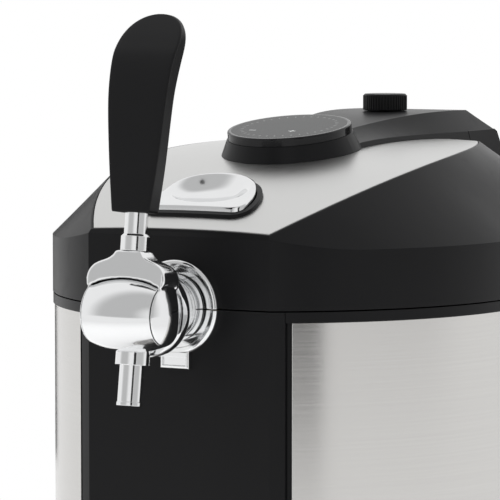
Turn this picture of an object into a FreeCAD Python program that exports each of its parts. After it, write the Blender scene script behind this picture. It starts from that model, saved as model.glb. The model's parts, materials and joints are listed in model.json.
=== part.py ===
import FreeCAD, Part
import math
import os

from FreeCAD import Vector

# A counter-top beer dispenser for 5 litre kegs, in millimetres.
# While the pieces are made, X is to the right, Y is the depth behind the plane of the front panel,
# and Z is the height above the table. At the end all is moved so that the origin is under the
# middle of the machine.

os.makedirs("parts", exist_ok=True)

X_AXIS = Vector(1, 0, 0)
Y_AXIS = Vector(0, 1, 0)
Z_AXIS = Vector(0, 0, 1)

# Plan of the body and the lid
body_depth = 325.0
body_half_width = 139.0
front_half_width = 57.0
widest_depth = 141.0
rear_corner_radius = 80.0

# Heights
foot_height = 5.0
base_height = 21.0
seam_height = 298.0
seam_gap = 0.8

# Feet and base
foot_radius = 11.0
foot_seat = 1.5
foot_edge = 26.0
base_floor = 3.0
base_wall = 4.0
base_inset = 1.5

# Drip tray on its tongue
tray_reach = 105.0
tray_half_width = 68.0
tray_corner_radius = 52.0
tray_height = 28.0
tray_wall = 2.4
tray_ledge = 3.0
tray_gap = 1.0
tongue_thickness = 9.0
tongue_inset = 7.0
grid_thickness = 1.4
grid_gap = 0.5
grid_slot_width = 3.2
grid_slot_pitch = 8.0
grid_border = 12.0

# Body walls
panel_thickness = 3.0
panel_wrap = 64.0
panel_gap = 0.2
steel_inset = 1.0
steel_thickness = 0.8
steel_front_edge = 66.8
steel_top_drop = 6.6
frame_wall = 2.4
frame_ring_drop = 9.0
frame_ring_width = 6.0

# Rear cover, vents, socket and switch
cover_overhang = 7.0
cover_depth = 329.0
cover_wall = 3.0
window_border = 11.0
cover_top_drop = 22.0
vent_count = 12
vent_half_width = 40.0
vent_height = 3.0
vent_pitch = 8.0
vent_bottom = 110.0
socket_height = 62.0
socket_offset = -26.0
socket_half_width = 14.5
socket_half_height = 10.5
socket_depth = 18.0
socket_rim = 3.0
pin_tip_drop = 6.0
pin_width = 4.0
pin_thickness = 2.0
pin_spread = 7.0
switch_offset = 26.0
switch_half_width = 6.5
switch_half_height = 9.5
switch_radius = 16.0
switch_gap = 0.4

# Keg well and cooling
keg_depth = 115.0
well_radius = 89.0
well_wall = 1.5
well_floor_height = 28.0
well_rim_drop = 8.0
well_rim_width = 3.5
foam_gap = 0.4
foam_rear_depth = 90.0
cold_plate_half = 32.0
cold_plate_depth = 12.0
cold_centre_height = 165.0
peltier_half = 20.0
peltier_thickness = 4.0
sink_half = 46.0
sink_base = 5.0
sink_depth = 40.0
fin_count = 15
fin_thickness = 1.2
fan_half = 46.0
fan_thickness = 25.0
fan_bore = 43.5
fan_hub_radius = 17.0
fan_blade_count = 7
fan_blade_gap = 1.5
fan_axle_radius = 2.0
fan_axle_gap = 0.06
board_thickness = 1.6
board_length = 82.0
board_height = 100.0
board_side_gap = 8.0
board_lift = 20.0
# Place, level, length, height and rise of the parts on the board, as shares of its size
board_parts = ((0.07, 0.1, 0.27, 0.26, 0.22), (0.49, 0.08, 0.37, 0.22, 0.17),
               (0.1, 0.5, 0.22, 0.3, 0.27), (0.54, 0.44, 0.32, 0.34, 0.12))

# Lid
shoulder_height = 32.5
shoulder_front_rise = 6.0
shoulder_fade = 40.0
lid_wall = 3.0
roof_peak = 84.4
roof_rise = 42.9
roof_power = 2.62
roof_peak_depth = 225.0
roof_tail_drop = 9.6
roof_crown = 4.0
plate_front_depth = 1.2
plate_front_half_width = 56.0
plate_half_width = 94.8
plate_widest_depth = 134.0
plate_tail_depth = 300.0
plate_tail_half_width = 30.6
plate_thickness = 1.6
plate_gap = 0.5
plate_border = 1.0
side_samples = 61

# Lid liner, its hollow over the keg, foam and seal
liner_thickness = 2.5
liner_gap = 0.6
dome_radius = 76.0
dome_height = 32.0
hose_channel = 12.0
channel_height = 20.0
seal_thickness = 3.0
seal_gap = 0.4
lid_foam_height = 20.0
lid_foam_radius = 92.0

# Hinge
hinge_depth = 327.0
knuckle_radius = 5.5
hinge_pin_radius = 2.5
hinge_pin_gap = 0.05
knuckle_length = 13.0
knuckle_gap = 0.5
knuckle_clearance = 0.8
leaf_thickness = 2.0
leaf_height = 18.0
leaf_side_gap = 1.5

# Display and console
display_depth = 130.2
display_height = 94.0
display_tilt = 9.3
glass_radius = 33.8
glass_thickness = 1.6
rim_width = 2.2
rim_height = 5.0
cone_height = 26.0
cone_flare = 0.42
cone_step = 0.6
console_top_half_width = 35.0
console_neck_half_width = 19.0
console_foot_half_width = 40.0
console_crease_height = 86.5
console_neck_depth = 165.0
console_neck_height = 91.0
console_mid_depth = 215.0
console_mid_half_width = 30.0
console_mid_height = 97.1
console_top_height = 99.0
console_top_depth = 258.0
console_bend_depth = 296.0
console_shelf_depth = 322.0
console_shelf_height = 85.0
console_rear_depth = 328.5
console_lower_height = 12.0
console_splay = 5.0
console_foot_depth = 20.0
console_wall = 3.0

# Pressure knob, regulator and gas cartridge
knob_depth = 255.0
knob_radius = 13.4
knob_height = 10.0
knob_gap = 0.4
knob_rib_count = 48
knob_rib_depth = 0.5
stem_radius = 4.0
stem_gap = 0.05
regulator_radius = 14.0
regulator_gap = 2.0
cartridge_radius = 11.0
cartridge_length = 74.0
cartridge_neck_radius = 4.2
cartridge_neck_length = 10.0
holder_wall = 2.0
holder_gap = 0.4
gas_tube_radius = 3.0
nozzle_radius = 8.0
nozzle_gap = 1.0

# Latch button in the lid
latch_front_depth = 18.0
latch_rear_depth = 57.0
latch_half_width = 30.0
latch_corner = 7.0
latch_proud = 4.5
latch_gap = 0.5
latch_base_wall = 3.0
latch_base_proud = 2.0
latch_base_depth = 7.0
latch_travel = 3.0
latch_bar_drop = 1.0
latch_bar_thickness = 2.0
latch_bar_depth = 15.0
post_radius = 4.0
button_wall = 2.5
scoop_half_width = 25.0
scoop_half_length = 15.5
scoop_round = 10.0
scoop_depth = 5.5
leg_offset = 29.5
leg_width = 6.0
leg_thickness = 3.0
leg_depth = 20.0
leg_reach = 7.0
hook_length = 3.0
spring_radius = 5.0
spring_wire_radius = 0.6
spring_turns = 5

# Tap
tap_axis_depth = -51.0
barrel_half_length = 21.0
barrel_end_radius = 16.5
barrel_mid_radius = 20.4
end_cap_radius = 16.4
end_cap_thickness = 0.8
end_cap_dome = 3.6
end_cap_line = 0.5
collar_front_depth = -38.2
collar_rear_depth = -29.0
collar_radius = 25.0
shank_radius = 16.5
shank_step_radius = 18.5
shank_step_depth = -13.0
shank_end_depth = 18.0
shank_bore = 4.0
shank_gap = 0.5
flange_radius = 26.3
flange_thickness = 4.6
flange_rim = 4.0
flange_dish = 1.6
flange_step = 1.0
tab_half_width = 9.0
tab_height = 7.5
nut_radius = 21.0
nut_thickness = 6.0
spout_lean = 8.4
spout_top_depth = -48.6
spout_collar_radius = 9.2
spout_collar_height = 7.0
spout_radius = 6.6
spout_bore = 4.5
spout_end_drop = 50.0
hose_radius = 5.0
hose_bore = 3.0
coupler_radius = 18.0
coupler_height = 18.0

# Lever
lever_lean = 7.4
yoke_gap = 0.4
yoke_half_length = 24.0
yoke_half_width = 9.2
yoke_top = 34.0
yoke_low = 12.5
yoke_round_height = 18.0
pivot_radius = 3.0
pivot_gap = 0.05
rod_radius = 6.35
rod_collar_radius = 7.8
rod_collar_top = 43.0
handle_bottom = 54.5
handle_length = 108.5
handle_bottom_half_width = 11.7
handle_half_width = 19.5
handle_round_height = 22.0
handle_face = 8.1
handle_thickness = 15.7
handle_waist = 1.4
handle_hook = 12.6
handle_side_taper = 2.4
handle_socket_depth = 20.0

# Fasteners
screw_radius = 2.0
screw_head_radius = 3.6
screw_head_height = 2.0
screw_length = 9.0

# Sizes that follow from the ones above
cover_half_width = body_half_width - rear_corner_radius + cover_overhang
base_top = foot_height + base_height
side_radius = ((body_half_width - front_half_width) ** 2 + widest_depth ** 2) / (
    2.0 * (body_half_width - front_half_width))
side_centre_x = body_half_width - side_radius
tray_floor_height = foot_height + tongue_thickness
body_top = seam_height - seam_gap
well_rim_height = seam_height - well_rim_drop
well_outer_radius = well_radius + well_wall
cold_face_depth = keg_depth + well_outer_radius
peltier_front = cold_face_depth + cold_plate_depth
sink_front = peltier_front + peltier_thickness
fan_front = sink_front + sink_depth + 2.0
frame_inset = steel_inset + steel_thickness
frame_inner_inset = frame_inset + frame_wall
ring_inner_inset = frame_inner_inset + frame_ring_width
post_depth = leg_depth + latch_bar_depth / 2
hole_radius = shank_radius + shank_gap
leg_bottom = seam_height - leg_reach
overrun = 400.0


def box(x_low, x_high, y_low, y_high, z_low, z_high):
    """A block between two corners."""
    return Part.makeBox(x_high - x_low, y_high - y_low, z_high - z_low, Vector(x_low, y_low, z_low))


def rod(radius, start, end):
    """A round bar from one point to another."""
    along = end.sub(start)
    return Part.makeCylinder(radius, along.Length, start, along)


def tube(outer, inner, start, end):
    """A round tube from one point to another."""
    return rod(outer, start, end).cut(rod(inner, start, end))


def fuse(shapes):
    """One solid from several that meet."""
    joined = shapes[0].multiFuse(shapes[1:])
    return joined.removeSplitter()


def mirrored(shape):
    """The same shape on the other side of the middle plane."""
    return shape.mirror(Vector(0, 0, 0), X_AXIS)


def extruded(edges, direction):
    """A prism from a closed run of edges."""
    return Part.Face(Part.Wire(edges)).extrude(direction)


def polygon_prism(points, direction):
    """A prism from the corners of a flat outline."""
    return Part.Face(Part.makePolygon(points + points[:1])).extrude(direction)


def polar(radius, angle):
    """A step of a given length in plan, with its angle from the X axis in degrees."""
    return Vector(radius * math.cos(math.radians(angle)), radius * math.sin(math.radians(angle)), 0)


def arc(first, middle, last):
    """An edge that is the arc through three points."""
    return Part.Arc(first, middle, last).toShape()


def line(first, last):
    """A straight edge."""
    return Part.LineSegment(first, last).toShape()


def spline(points):
    """A smooth edge through points."""
    curve = Part.BSplineCurve()
    curve.interpolate(points)
    return curve.toShape()


def side_edges(inset, rear_x):
    """Right side of the plan from the front corner round to a point on the rear wall."""
    radius = side_radius - inset
    centre = Vector(side_centre_x, widest_depth, 0)
    front_angle = -math.degrees(math.asin((widest_depth - inset) / radius))
    rear_radius = max(rear_corner_radius - inset, 1.0)
    rear_centre = Vector(body_half_width - rear_corner_radius, body_depth - rear_corner_radius, 0)
    wide = centre + polar(radius, 0)
    turn = rear_centre + polar(rear_radius, 0)
    back = rear_centre + polar(rear_radius, 90)
    return [
        arc(centre + polar(radius, front_angle), centre + polar(radius, front_angle / 2), wide),
        line(wide, turn),
        arc(turn, rear_centre + polar(rear_radius, 45), back),
        line(back, Vector(rear_x, back.y, 0)),
    ]


def plan_prism(inset, z_low, z_high):
    """The plan of the body as a prism, set in from the outside by a given distance."""
    right = side_edges(inset, 0)
    left = [mirrored(edge) for edge in reversed(right)]
    start = right[0].Vertexes[0].Point
    front = line(Vector(-start.x, start.y, 0), start)
    outline = Part.Wire(Part.__sortEdges__([front] + right + left))
    prism = Part.Face(outline).extrude(Vector(0, 0, z_high - z_low))
    prism.translate(Vector(0, 0, z_low))
    return prism


def plate_corner(inset, depth):
    """Half width of the silver plate at a depth, on one arc in front and one behind."""
    if depth < plate_widest_depth:
        run = plate_widest_depth - plate_front_depth
        narrowing = plate_half_width - plate_front_half_width
    else:
        run = plate_tail_depth - plate_widest_depth
        narrowing = plate_half_width - plate_tail_half_width
    radius = (narrowing ** 2 + run ** 2) / (2.0 * narrowing)
    return plate_half_width - radius + math.sqrt((radius - inset) ** 2 - (plate_widest_depth - depth) ** 2)


def plate_arc(inset, first, last):
    """Part of the right edge of the silver plate, between two depths."""
    points = [Vector(plate_corner(inset, depth), depth, 0) for depth in (first, 0.5 * (first + last), last)]
    return arc(*points)


def plate_edges(inset):
    """Right edge of the silver plate from the front corner to the tail."""
    return [
        plate_arc(inset, plate_front_depth + inset, plate_widest_depth),
        plate_arc(inset, plate_widest_depth, plate_tail_depth - inset),
    ]


def plate_prism(inset):
    """The outline of the silver plate as a tall prism."""
    right = plate_edges(inset)
    left = [mirrored(edge) for edge in right]
    first = right[0].Vertexes[0].Point
    last = right[1].Vertexes[1].Point
    ends = [
        line(Vector(-first.x, first.y, 0), first),
        line(last, Vector(-last.x, last.y, 0)),
    ]
    edges = ends + right + left
    return Part.Face(Part.Wire(Part.__sortEdges__(edges))).extrude(Vector(0, 0, overrun))


def roof_height(x, depth):
    """Height of the crowned roof of the lid above the table."""
    if depth < roof_peak_depth:
        fall = roof_rise * (1.0 - depth / roof_peak_depth) ** roof_power
    else:
        fall = roof_tail_drop * ((depth - roof_peak_depth) / (body_depth - roof_peak_depth)) ** 2
    return seam_height + roof_peak - fall - roof_crown * (x / plate_half_width) ** 2


def below_roof(drop):
    """All that lies below the roof, lowered by a given distance."""
    x_count = 9
    depth_count = 15
    x_low = -1.2 * body_half_width
    depth_low = -20.0
    depth_high = body_depth + 20.0
    grid = []
    for i in range(x_count):
        x = x_low + i * (-2.0 * x_low) / (x_count - 1)
        row = []
        for j in range(depth_count):
            depth = depth_low + j * (depth_high - depth_low) / (depth_count - 1)
            row.append(Vector(x, depth, roof_height(x, depth) - drop))
        grid.append(row)
    surface = Part.BSplineSurface()
    surface.interpolate(grid)
    return surface.toShape().extrude(Vector(0, 0, -overrun))


def shoulder_level(x):
    """Height above the seam of the crease between the wall and the sloping facet."""
    fade = max(0.0, 1.0 - (abs(x) - front_half_width) / shoulder_fade)
    return shoulder_height + shoulder_front_rise * min(fade, 1.0) ** 1.5


def closed_ring(right_points):
    """A closed wire with a straight front, a straight rear and two mirrored sides."""
    left_points = [Vector(-p.x, p.y, p.z) for p in right_points]
    edges = [
        line(left_points[0], right_points[0]),
        spline(right_points),
        line(right_points[-1], left_points[-1]),
        spline(list(reversed(left_points))),
    ]
    return Part.Wire(edges)


def lid_form(inset, drop, bottom):
    """Outer or inner form of the lid: upright wall, sloping facet and crowned roof."""
    tail_x = plate_corner(inset, plate_tail_depth - inset)
    wall_wire = Part.Wire(side_edges(inset, tail_x))
    wall_points = wall_wire.discretize(Number=side_samples)
    edge_points = Part.Wire(plate_edges(inset)).discretize(Number=side_samples)
    shoulder = []
    crest = []
    for wall_point, edge_point in zip(wall_points, edge_points):
        level = seam_height + shoulder_level(wall_point.x) - drop * 0.5
        low = Vector(wall_point.x, wall_point.y, level)
        high = Vector(edge_point.x, edge_point.y, roof_height(edge_point.x, edge_point.y) - drop)
        beyond = high + (high - low) * 0.12
        shoulder.append(low)
        crest.append(beyond)
    foot = [Vector(p.x, p.y, bottom) for p in wall_points]
    sky = [Vector(p.x, p.y, seam_height + overrun / 2) for p in crest]
    rings = [closed_ring(points) for points in (foot, shoulder, crest, sky)]
    block = Part.makeLoft(rings, True, True)
    return block.common(below_roof(drop))


def facing(shape, centre, tilt):
    """A shape made upright at the origin, tipped about X and carried to its place."""
    placed = shape.copy()
    placed.rotate(Vector(0, 0, 0), X_AXIS, tilt)
    placed.translate(centre)
    return placed


def base_plinth():
    """Base tub of the machine."""
    tub = plan_prism(base_inset, foot_height, base_top)
    pocket = plan_prism(base_inset + base_wall, foot_height + base_floor, base_top + 1)
    return without_foot_seats(tub.cut(pocket))


def tray_tongue():
    """Tongue screwed to the front of the base, which carries the drip tray."""
    reach = -tray_reach + tongue_inset
    half = tray_half_width - tongue_inset
    tongue = box(-half, half, reach, base_inset, foot_height, tray_floor_height)
    tongue = tongue.makeFillet(tray_corner_radius - tongue_inset, upright_edges(tongue, reach))
    return without_foot_seats(tongue)


def without_foot_seats(shape):
    """Cuts the seats of the feet out of an underside."""
    for centre in foot_centres():
        shape = shape.cut(rod(foot_radius, centre, centre + Vector(0, 0, foot_height + foot_seat)))
    return shape


def upright_edges(shape, depth):
    """The upright edges of a shape that stand at a depth."""
    found = []
    for edge in shape.Edges:
        low, high = edge.BoundBox.YMin, edge.BoundBox.YMax
        if abs(low - depth) < 0.01 and abs(high - depth) < 0.01 and edge.BoundBox.ZLength > 1.0:
            if edge.BoundBox.XLength < 0.01:
                found.append(edge)
    return found


def foot_centres():
    """Places of the feet under the base and the tongue."""
    side = body_half_width - foot_edge - foot_radius
    tongue_side = tray_half_width - tongue_inset - foot_edge
    return [
        Vector(side, widest_depth - foot_edge, 0),
        Vector(-side, widest_depth - foot_edge, 0),
        Vector(side - foot_edge, body_depth - foot_edge, 0),
        Vector(-side + foot_edge, body_depth - foot_edge, 0),
        Vector(tongue_side, -tray_reach + tongue_inset + foot_edge, 0),
        Vector(-tongue_side, -tray_reach + tongue_inset + foot_edge, 0),
    ]


def rubber_feet():
    """Round rubber feet, seated in the underside of the base."""
    feet = []
    for centre in foot_centres():
        foot = rod(foot_radius - 0.2, centre, centre + Vector(0, 0, foot_height + foot_seat))
        lower_rim = [edge for edge in foot.Edges if edge.BoundBox.ZMax < 0.1]
        feet.append(foot.makeFillet(1.0, lower_rim))
    return Part.makeCompound(feet)


def tray_prism(inset, z_low, z_high):
    """Plan of the drip tray: a straight back and a widely rounded front."""
    back = -tray_gap - inset
    front = -tray_reach + inset
    block = box(-tray_half_width + inset, tray_half_width - inset, front, back, z_low, z_high)
    return block.makeFillet(tray_corner_radius - inset, upright_edges(block, front))


def drip_tray():
    """Lift-out tub that catches the drips, with a ledge for its grid."""
    top = tray_floor_height + tray_height
    outer = tray_prism(0, tray_floor_height, top)
    hollow = tray_prism(tray_wall + tray_ledge, tray_floor_height + tray_wall, top)
    seat = tray_prism(tray_wall, top - grid_thickness - grid_gap, top + 1)
    tray = outer.cut(hollow).cut(seat)
    outer_rim = [edge for edge in tray.Edges if edge.BoundBox.ZMin > top - 0.01 and
                 edge.BoundBox.YMin < -tray_reach + 0.5]
    return tray.makeFillet(0.8, outer_rim)


def drip_grid():
    """Stainless plate with rows of slots, lying on the ledge of the tray."""
    level = tray_floor_height + tray_height - grid_thickness - grid_gap
    grid = tray_prism(tray_wall + grid_gap, level, level + grid_thickness)
    inside = tray_prism(tray_wall + grid_border, level - 1, level + grid_thickness + 1)
    first = -tray_reach + tray_wall + grid_border
    last = -tray_gap - tray_wall - grid_border
    rows = int((last - first) / grid_slot_pitch)
    start = 0.5 * (first + last) - 0.5 * (rows - 1) * grid_slot_pitch
    slots = []
    for row in range(rows):
        depth = start + row * grid_slot_pitch
        slots.append(box(-tray_half_width, tray_half_width, depth - grid_slot_width / 2,
                         depth + grid_slot_width / 2, level - 1, level + grid_thickness + 1))
    cutter = Part.makeCompound(slots).common(inside)
    rib = box(-2.5, 2.5, -tray_reach, 0, level - 2, level + grid_thickness + 2)
    return grid.cut(cutter.cut(rib))


def tap_hole(radius, front, back):
    """The round hole that the shank of the tap lies in, split by the seam."""
    return rod(radius, Vector(0, front, seam_height), Vector(0, back, seam_height))


def front_panel():
    """Black front panel, wrapped a little round both corners."""
    ring = plan_prism(0, base_top, body_top).cut(plan_prism(panel_thickness, base_top - 1, seam_height))
    window = box(-panel_wrap, panel_wrap, -1, front_half_width, base_top, body_top)
    return ring.common(window).cut(tap_hole(hole_radius, -1, panel_thickness + 1))


def body_frame():
    """Inner shell of the body with its top ring, open towards the cooler at the rear."""
    ring_low = seam_height - frame_ring_drop
    wall = plan_prism(frame_inset, base_top, ring_low + 1)
    wall = wall.cut(plan_prism(frame_inner_inset, base_top - 1, seam_height))
    ring = plan_prism(panel_gap, ring_low, body_top)
    ring = ring.cut(plan_prism(ring_inner_inset, ring_low - 1, seam_height))
    band = plan_prism(-1, base_top - 1, seam_height - steel_top_drop)
    band = band.cut(plan_prism(frame_inset, base_top - 2, seam_height))
    front_space = box(-panel_wrap - panel_gap, panel_wrap + panel_gap, -5, front_half_width,
                      base_top - 1, seam_height)
    front_space = front_space.cut(plan_prism(panel_thickness + panel_gap, base_top - 2, seam_height + 1))
    window = box(-cover_half_width + window_border, cover_half_width - window_border,
                 body_depth - rear_corner_radius, body_depth + 5, base_top + 8,
                 seam_height - cover_top_drop - 8)
    frame = fuse([wall, ring]).cut(band).cut(front_space).cut(window)
    frame = frame.cut(tap_hole(hole_radius, -1, ring_inner_inset + 8))
    frame = frame.cut(leg_slots(seam_height - frame_ring_drop - 5, seam_height))
    for place in cover_screws():
        frame = frame.cut(rod(screw_radius, place, place - Vector(0, screw_length, 0)))
    frame = frame.cut(knuckle_space(upper_knuckles(), seam_height - 12, seam_height))
    return frame.cut(leaf_space())


def steel_panel(side):
    """Brushed steel skin on one side, from the front strip to the rear cover."""
    top = seam_height - steel_top_drop
    skin = plan_prism(steel_inset, base_top, top)
    skin = skin.cut(plan_prism(steel_inset + steel_thickness, base_top - 1, top + 1))
    skin = skin.cut(box(-steel_front_edge, steel_front_edge, -1, widest_depth, base_top - 1, top + 1))
    skin = skin.cut(box(-cover_half_width - 1, cover_half_width + 1, widest_depth, body_depth + 5,
                        base_top - 1, top + 1))
    half = box(0, 2 * body_half_width, -5, body_depth + 5, base_top - 1, top + 1)
    right = skin.common(half)
    return right if side > 0 else mirrored(right)


def rear_cover():
    """Rear cover with louvres, a window for the mains socket and one for the switch."""
    top = seam_height - cover_top_drop
    seat = body_depth - frame_inset
    outer = box(-cover_half_width, cover_half_width, seat, cover_depth, base_top, top)
    outer = outer.makeFillet(2.0, [edge for edge in outer.Edges if edge.BoundBox.YMin > cover_depth - 0.1])
    inner = box(-cover_half_width + cover_wall, cover_half_width - cover_wall, seat - 1,
                cover_depth - cover_wall, base_top + cover_wall, top - cover_wall)
    cover = outer.cut(inner)
    for row in range(vent_count):
        level = vent_bottom + row * vent_pitch
        cover = cover.cut(box(-vent_half_width, vent_half_width, body_depth - 5, cover_depth + 1,
                              level, level + vent_height))
    cover = cover.cut(box(socket_offset - socket_half_width, socket_offset + socket_half_width,
                          body_depth - 5, cover_depth + 1, socket_height - socket_half_height,
                          socket_height + socket_half_height))
    return cover.cut(box(switch_offset - switch_half_width - switch_gap,
                         switch_offset + switch_half_width + switch_gap, body_depth - 5, cover_depth + 1,
                         socket_height - switch_half_height - switch_gap,
                         socket_height + switch_half_height + switch_gap))


def power_inlet():
    """Mains socket, a tub behind the rear cover with a flange against its inner face."""
    face = cover_depth - cover_wall
    outer = box(socket_offset - socket_half_width - socket_rim,
                socket_offset + socket_half_width + socket_rim,
                face - socket_depth - socket_rim, face, socket_height - socket_half_height - socket_rim,
                socket_height + socket_half_height + socket_rim)
    hollow = box(socket_offset - socket_half_width, socket_offset + socket_half_width,
                 face - socket_depth, face + 1, socket_height - socket_half_height,
                 socket_height + socket_half_height)
    corners = [edge for edge in hollow.Edges if edge.BoundBox.YLength > socket_depth and
               edge.BoundBox.ZMax > socket_height]
    return outer.cut(hollow.makeFillet(4.0, corners)).cut(inlet_pins())


def inlet_pins():
    """Three flat contact pins, with the earth pin above the others."""
    back = cover_depth - cover_wall - socket_depth - socket_rim - 4.0
    tip = cover_depth - pin_tip_drop
    pins = []
    for step, rise in ((-1, -2.0), (0, 2.0), (1, -2.0)):
        x = socket_offset + step * pin_spread
        z = socket_height + rise
        pins.append(box(x - pin_thickness / 2, x + pin_thickness / 2, back, tip,
                        z - pin_width / 2, z + pin_width / 2))
    return Part.makeCompound(pins)


def switch_axis():
    """Pivot of the rocker, behind the face of the rear cover."""
    return Vector(switch_offset, cover_depth - switch_radius, socket_height)


def rocker_switch():
    """Rocker with a shallow V in its face, rocking about an axis from side to side."""
    axis = switch_axis()
    drum = rod(switch_radius, axis - X_AXIS * switch_half_width, axis + X_AXIS * switch_half_width)
    window = box(switch_offset - switch_half_width, switch_offset + switch_half_width,
                 axis.y, cover_depth, socket_height - switch_half_height + 1,
                 socket_height + switch_half_height - 1)
    dish_centre = Vector(switch_offset, cover_depth + switch_radius + 3.0, socket_height)
    dish = rod(switch_radius + 4.0, dish_centre - X_AXIS * 20, dish_centre + X_AXIS * 20)
    return drum.common(window).cut(dish)


def switch_bracket():
    """Two ears behind the rear cover that hold the rocker between them."""
    axis = switch_axis()
    ears = []
    for side in (-1, 1):
        inner = switch_offset + side * (switch_half_width + switch_gap)
        outer = inner + side * 2.0
        ears.append(box(min(inner, outer), max(inner, outer), axis.y - 4, cover_depth - cover_wall,
                        socket_height - 6, socket_height + 6))
    return ears


def cooling_well():
    """Aluminium cup that the keg stands in."""
    floor = Vector(0, keg_depth, well_floor_height - well_wall)
    mouth = Vector(0, keg_depth, well_rim_height)
    cup = rod(well_outer_radius, floor, mouth)
    lower_rim = [edge for edge in cup.Edges if edge.BoundBox.ZMax < floor.z + 0.1]
    cup = cup.makeFillet(6.0, lower_rim)
    rim = rod(well_outer_radius + well_rim_width, mouth - Z_AXIS * well_wall, mouth)
    hollow = rod(well_radius, floor + Z_AXIS * well_wall, mouth + Z_AXIS)
    inner_rim = [edge for edge in hollow.Edges if edge.BoundBox.ZMax < floor.z + well_wall + 0.1]
    return fuse([cup, rim]).cut(hollow.makeFillet(4.5, inner_rim))


def foam_jacket():
    """Insulating foam between the well and the frame."""
    inset = frame_inner_inset + foam_gap
    low = base_top + foam_gap
    high = well_rim_height - well_wall - foam_gap
    block = plan_prism(inset + base_wall, foot_height + base_floor + foam_gap, high)
    upper = plan_prism(inset + frame_ring_width, low, high)
    block = fuse([block.common(box(-overrun, overrun, -overrun, overrun, 0, low)), upper])
    well_low = well_floor_height - well_wall - foam_gap
    block = block.cut(rod(well_outer_radius + foam_gap, Vector(0, keg_depth, well_low),
                          Vector(0, keg_depth, high + 1)))
    block = block.cut(box(-overrun, overrun, keg_depth + foam_rear_depth, overrun, 0, overrun))
    block = block.cut(box(-cold_plate_half - 1, cold_plate_half + 1, keg_depth, overrun,
                          cold_centre_height - cold_plate_half - 1, cold_centre_height + cold_plate_half + 1))
    nut_space = box(-nut_radius - 2, nut_radius + 2, -1, keg_depth - well_outer_radius - 1,
                    seam_height - nut_radius - 2, seam_height)
    legs = leg_slots(seam_height - 2 * leg_reach - latch_travel, seam_height)
    return block.cut(nut_space).cut(legs)


def cold_plate():
    """Aluminium block with one hollow face against the well."""
    block = box(-cold_plate_half, cold_plate_half, keg_depth + well_outer_radius - 8, peltier_front,
                cold_centre_height - cold_plate_half, cold_centre_height + cold_plate_half)
    return block.cut(rod(well_outer_radius, Vector(0, keg_depth, 0), Vector(0, keg_depth, seam_height)))


def peltier_module():
    """Thermoelectric module between the cold plate and the heat sink."""
    return box(-peltier_half, peltier_half, peltier_front, sink_front,
               cold_centre_height - peltier_half, cold_centre_height + peltier_half)


def heat_sink():
    """Finned aluminium heat sink."""
    low = cold_centre_height - sink_half
    high = cold_centre_height + sink_half
    pieces = [box(-sink_half, sink_half, sink_front, sink_front + sink_base, low, high)]
    step = (2.0 * sink_half - fin_thickness) / (fin_count - 1)
    for i in range(fin_count):
        x = -sink_half + i * step
        pieces.append(box(x, x + fin_thickness, sink_front + sink_base - 0.5, sink_front + sink_depth,
                          low, high))
    return fuse(pieces)


def fan_frame():
    """Square fan frame bolted behind the heat sink, with a spider that carries the axle."""
    low = cold_centre_height - fan_half
    high = cold_centre_height + fan_half
    rear = fan_front + fan_thickness
    frame = box(-fan_half, fan_half, fan_front - 2.0, rear, low, high)
    frame = frame.makeFillet(4.0, [edge for edge in frame.Edges if edge.BoundBox.YLength > fan_thickness])
    frame = frame.cut(rod(fan_bore, Vector(0, fan_front - 3, cold_centre_height),
                          Vector(0, rear + 1, cold_centre_height)))
    end = Vector(0, rear, cold_centre_height)
    hub = rod(fan_hub_radius, Vector(0, rear - 3, cold_centre_height), end)
    axle = rod(fan_axle_radius, Vector(0, fan_front + 4, cold_centre_height), end)
    pieces = [frame, hub, axle]
    for turn in range(3):
        arm = box(-3, 3, rear - 3, rear, cold_centre_height, cold_centre_height + fan_bore + 1)
        arm.rotate(Vector(0, 0, cold_centre_height), Y_AXIS, 120 * turn)
        pieces.append(arm)
    return fuse(pieces)


def fan_rotor():
    """Hub with pitched blades, turning on the axle of the fan frame."""
    front = fan_front + 1.0
    back = fan_front + fan_thickness - 4.0
    hub = rod(fan_hub_radius, Vector(0, front, cold_centre_height), Vector(0, back, cold_centre_height))
    hub = hub.makeFillet(2.0, [edge for edge in hub.Edges if edge.BoundBox.YMax < front + 0.1])
    middle = 0.5 * (front + back)
    pieces = [hub]
    for turn in range(fan_blade_count):
        blade = box(-1.0, 1.0, -0.5 * (back - front) + 1.5, 0.5 * (back - front) - 1.5,
                    fan_hub_radius - 2, fan_bore - fan_blade_gap)
        blade.rotate(Vector(0, 0, 0), Z_AXIS, 38)
        blade.translate(Vector(0, middle, 0))
        blade.rotate(Vector(0, 0, 0), Y_AXIS, 360.0 / fan_blade_count * turn)
        blade.translate(Vector(0, 0, cold_centre_height))
        pieces.append(blade)
    rotor = fuse(pieces)
    limit = tube(fan_bore - fan_blade_gap, fan_axle_radius + fan_axle_gap,
                 Vector(0, front, cold_centre_height), Vector(0, back, cold_centre_height))
    return rotor.common(limit)


def power_board():
    """Power supply board beside the heat sink, with its main parts."""
    x = sink_half + board_side_gap
    low = base_top + board_lift
    face = x + board_thickness
    parts = [box(x, face, sink_front, sink_front + board_length, low, low + board_height)]
    for depth, level, length, height, rise in board_parts:
        front = sink_front + depth * board_length
        bottom = low + level * board_height
        parts.append(box(face, face + rise * board_length, front, front + length * board_length,
                         bottom, bottom + height * board_height))
    return fuse(parts)


def knuckle_span(index):
    """Ends along X of one of the five knuckles, counted from the left."""
    pitch = knuckle_length + knuckle_gap
    middle = (index - 2) * pitch
    return middle - knuckle_length / 2, middle + knuckle_length / 2


def lower_knuckles():
    """Knuckles of the leaf on the body."""
    return [knuckle_span(index) for index in (0, 2, 4)]


def upper_knuckles():
    """Knuckles of the leaf on the lid."""
    return [knuckle_span(index) for index in (1, 3)]


def hinge_rod(radius, x_low, x_high):
    """A bar on the axis of the hinge."""
    return rod(radius, Vector(x_low, hinge_depth, seam_height), Vector(x_high, hinge_depth, seam_height))


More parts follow.
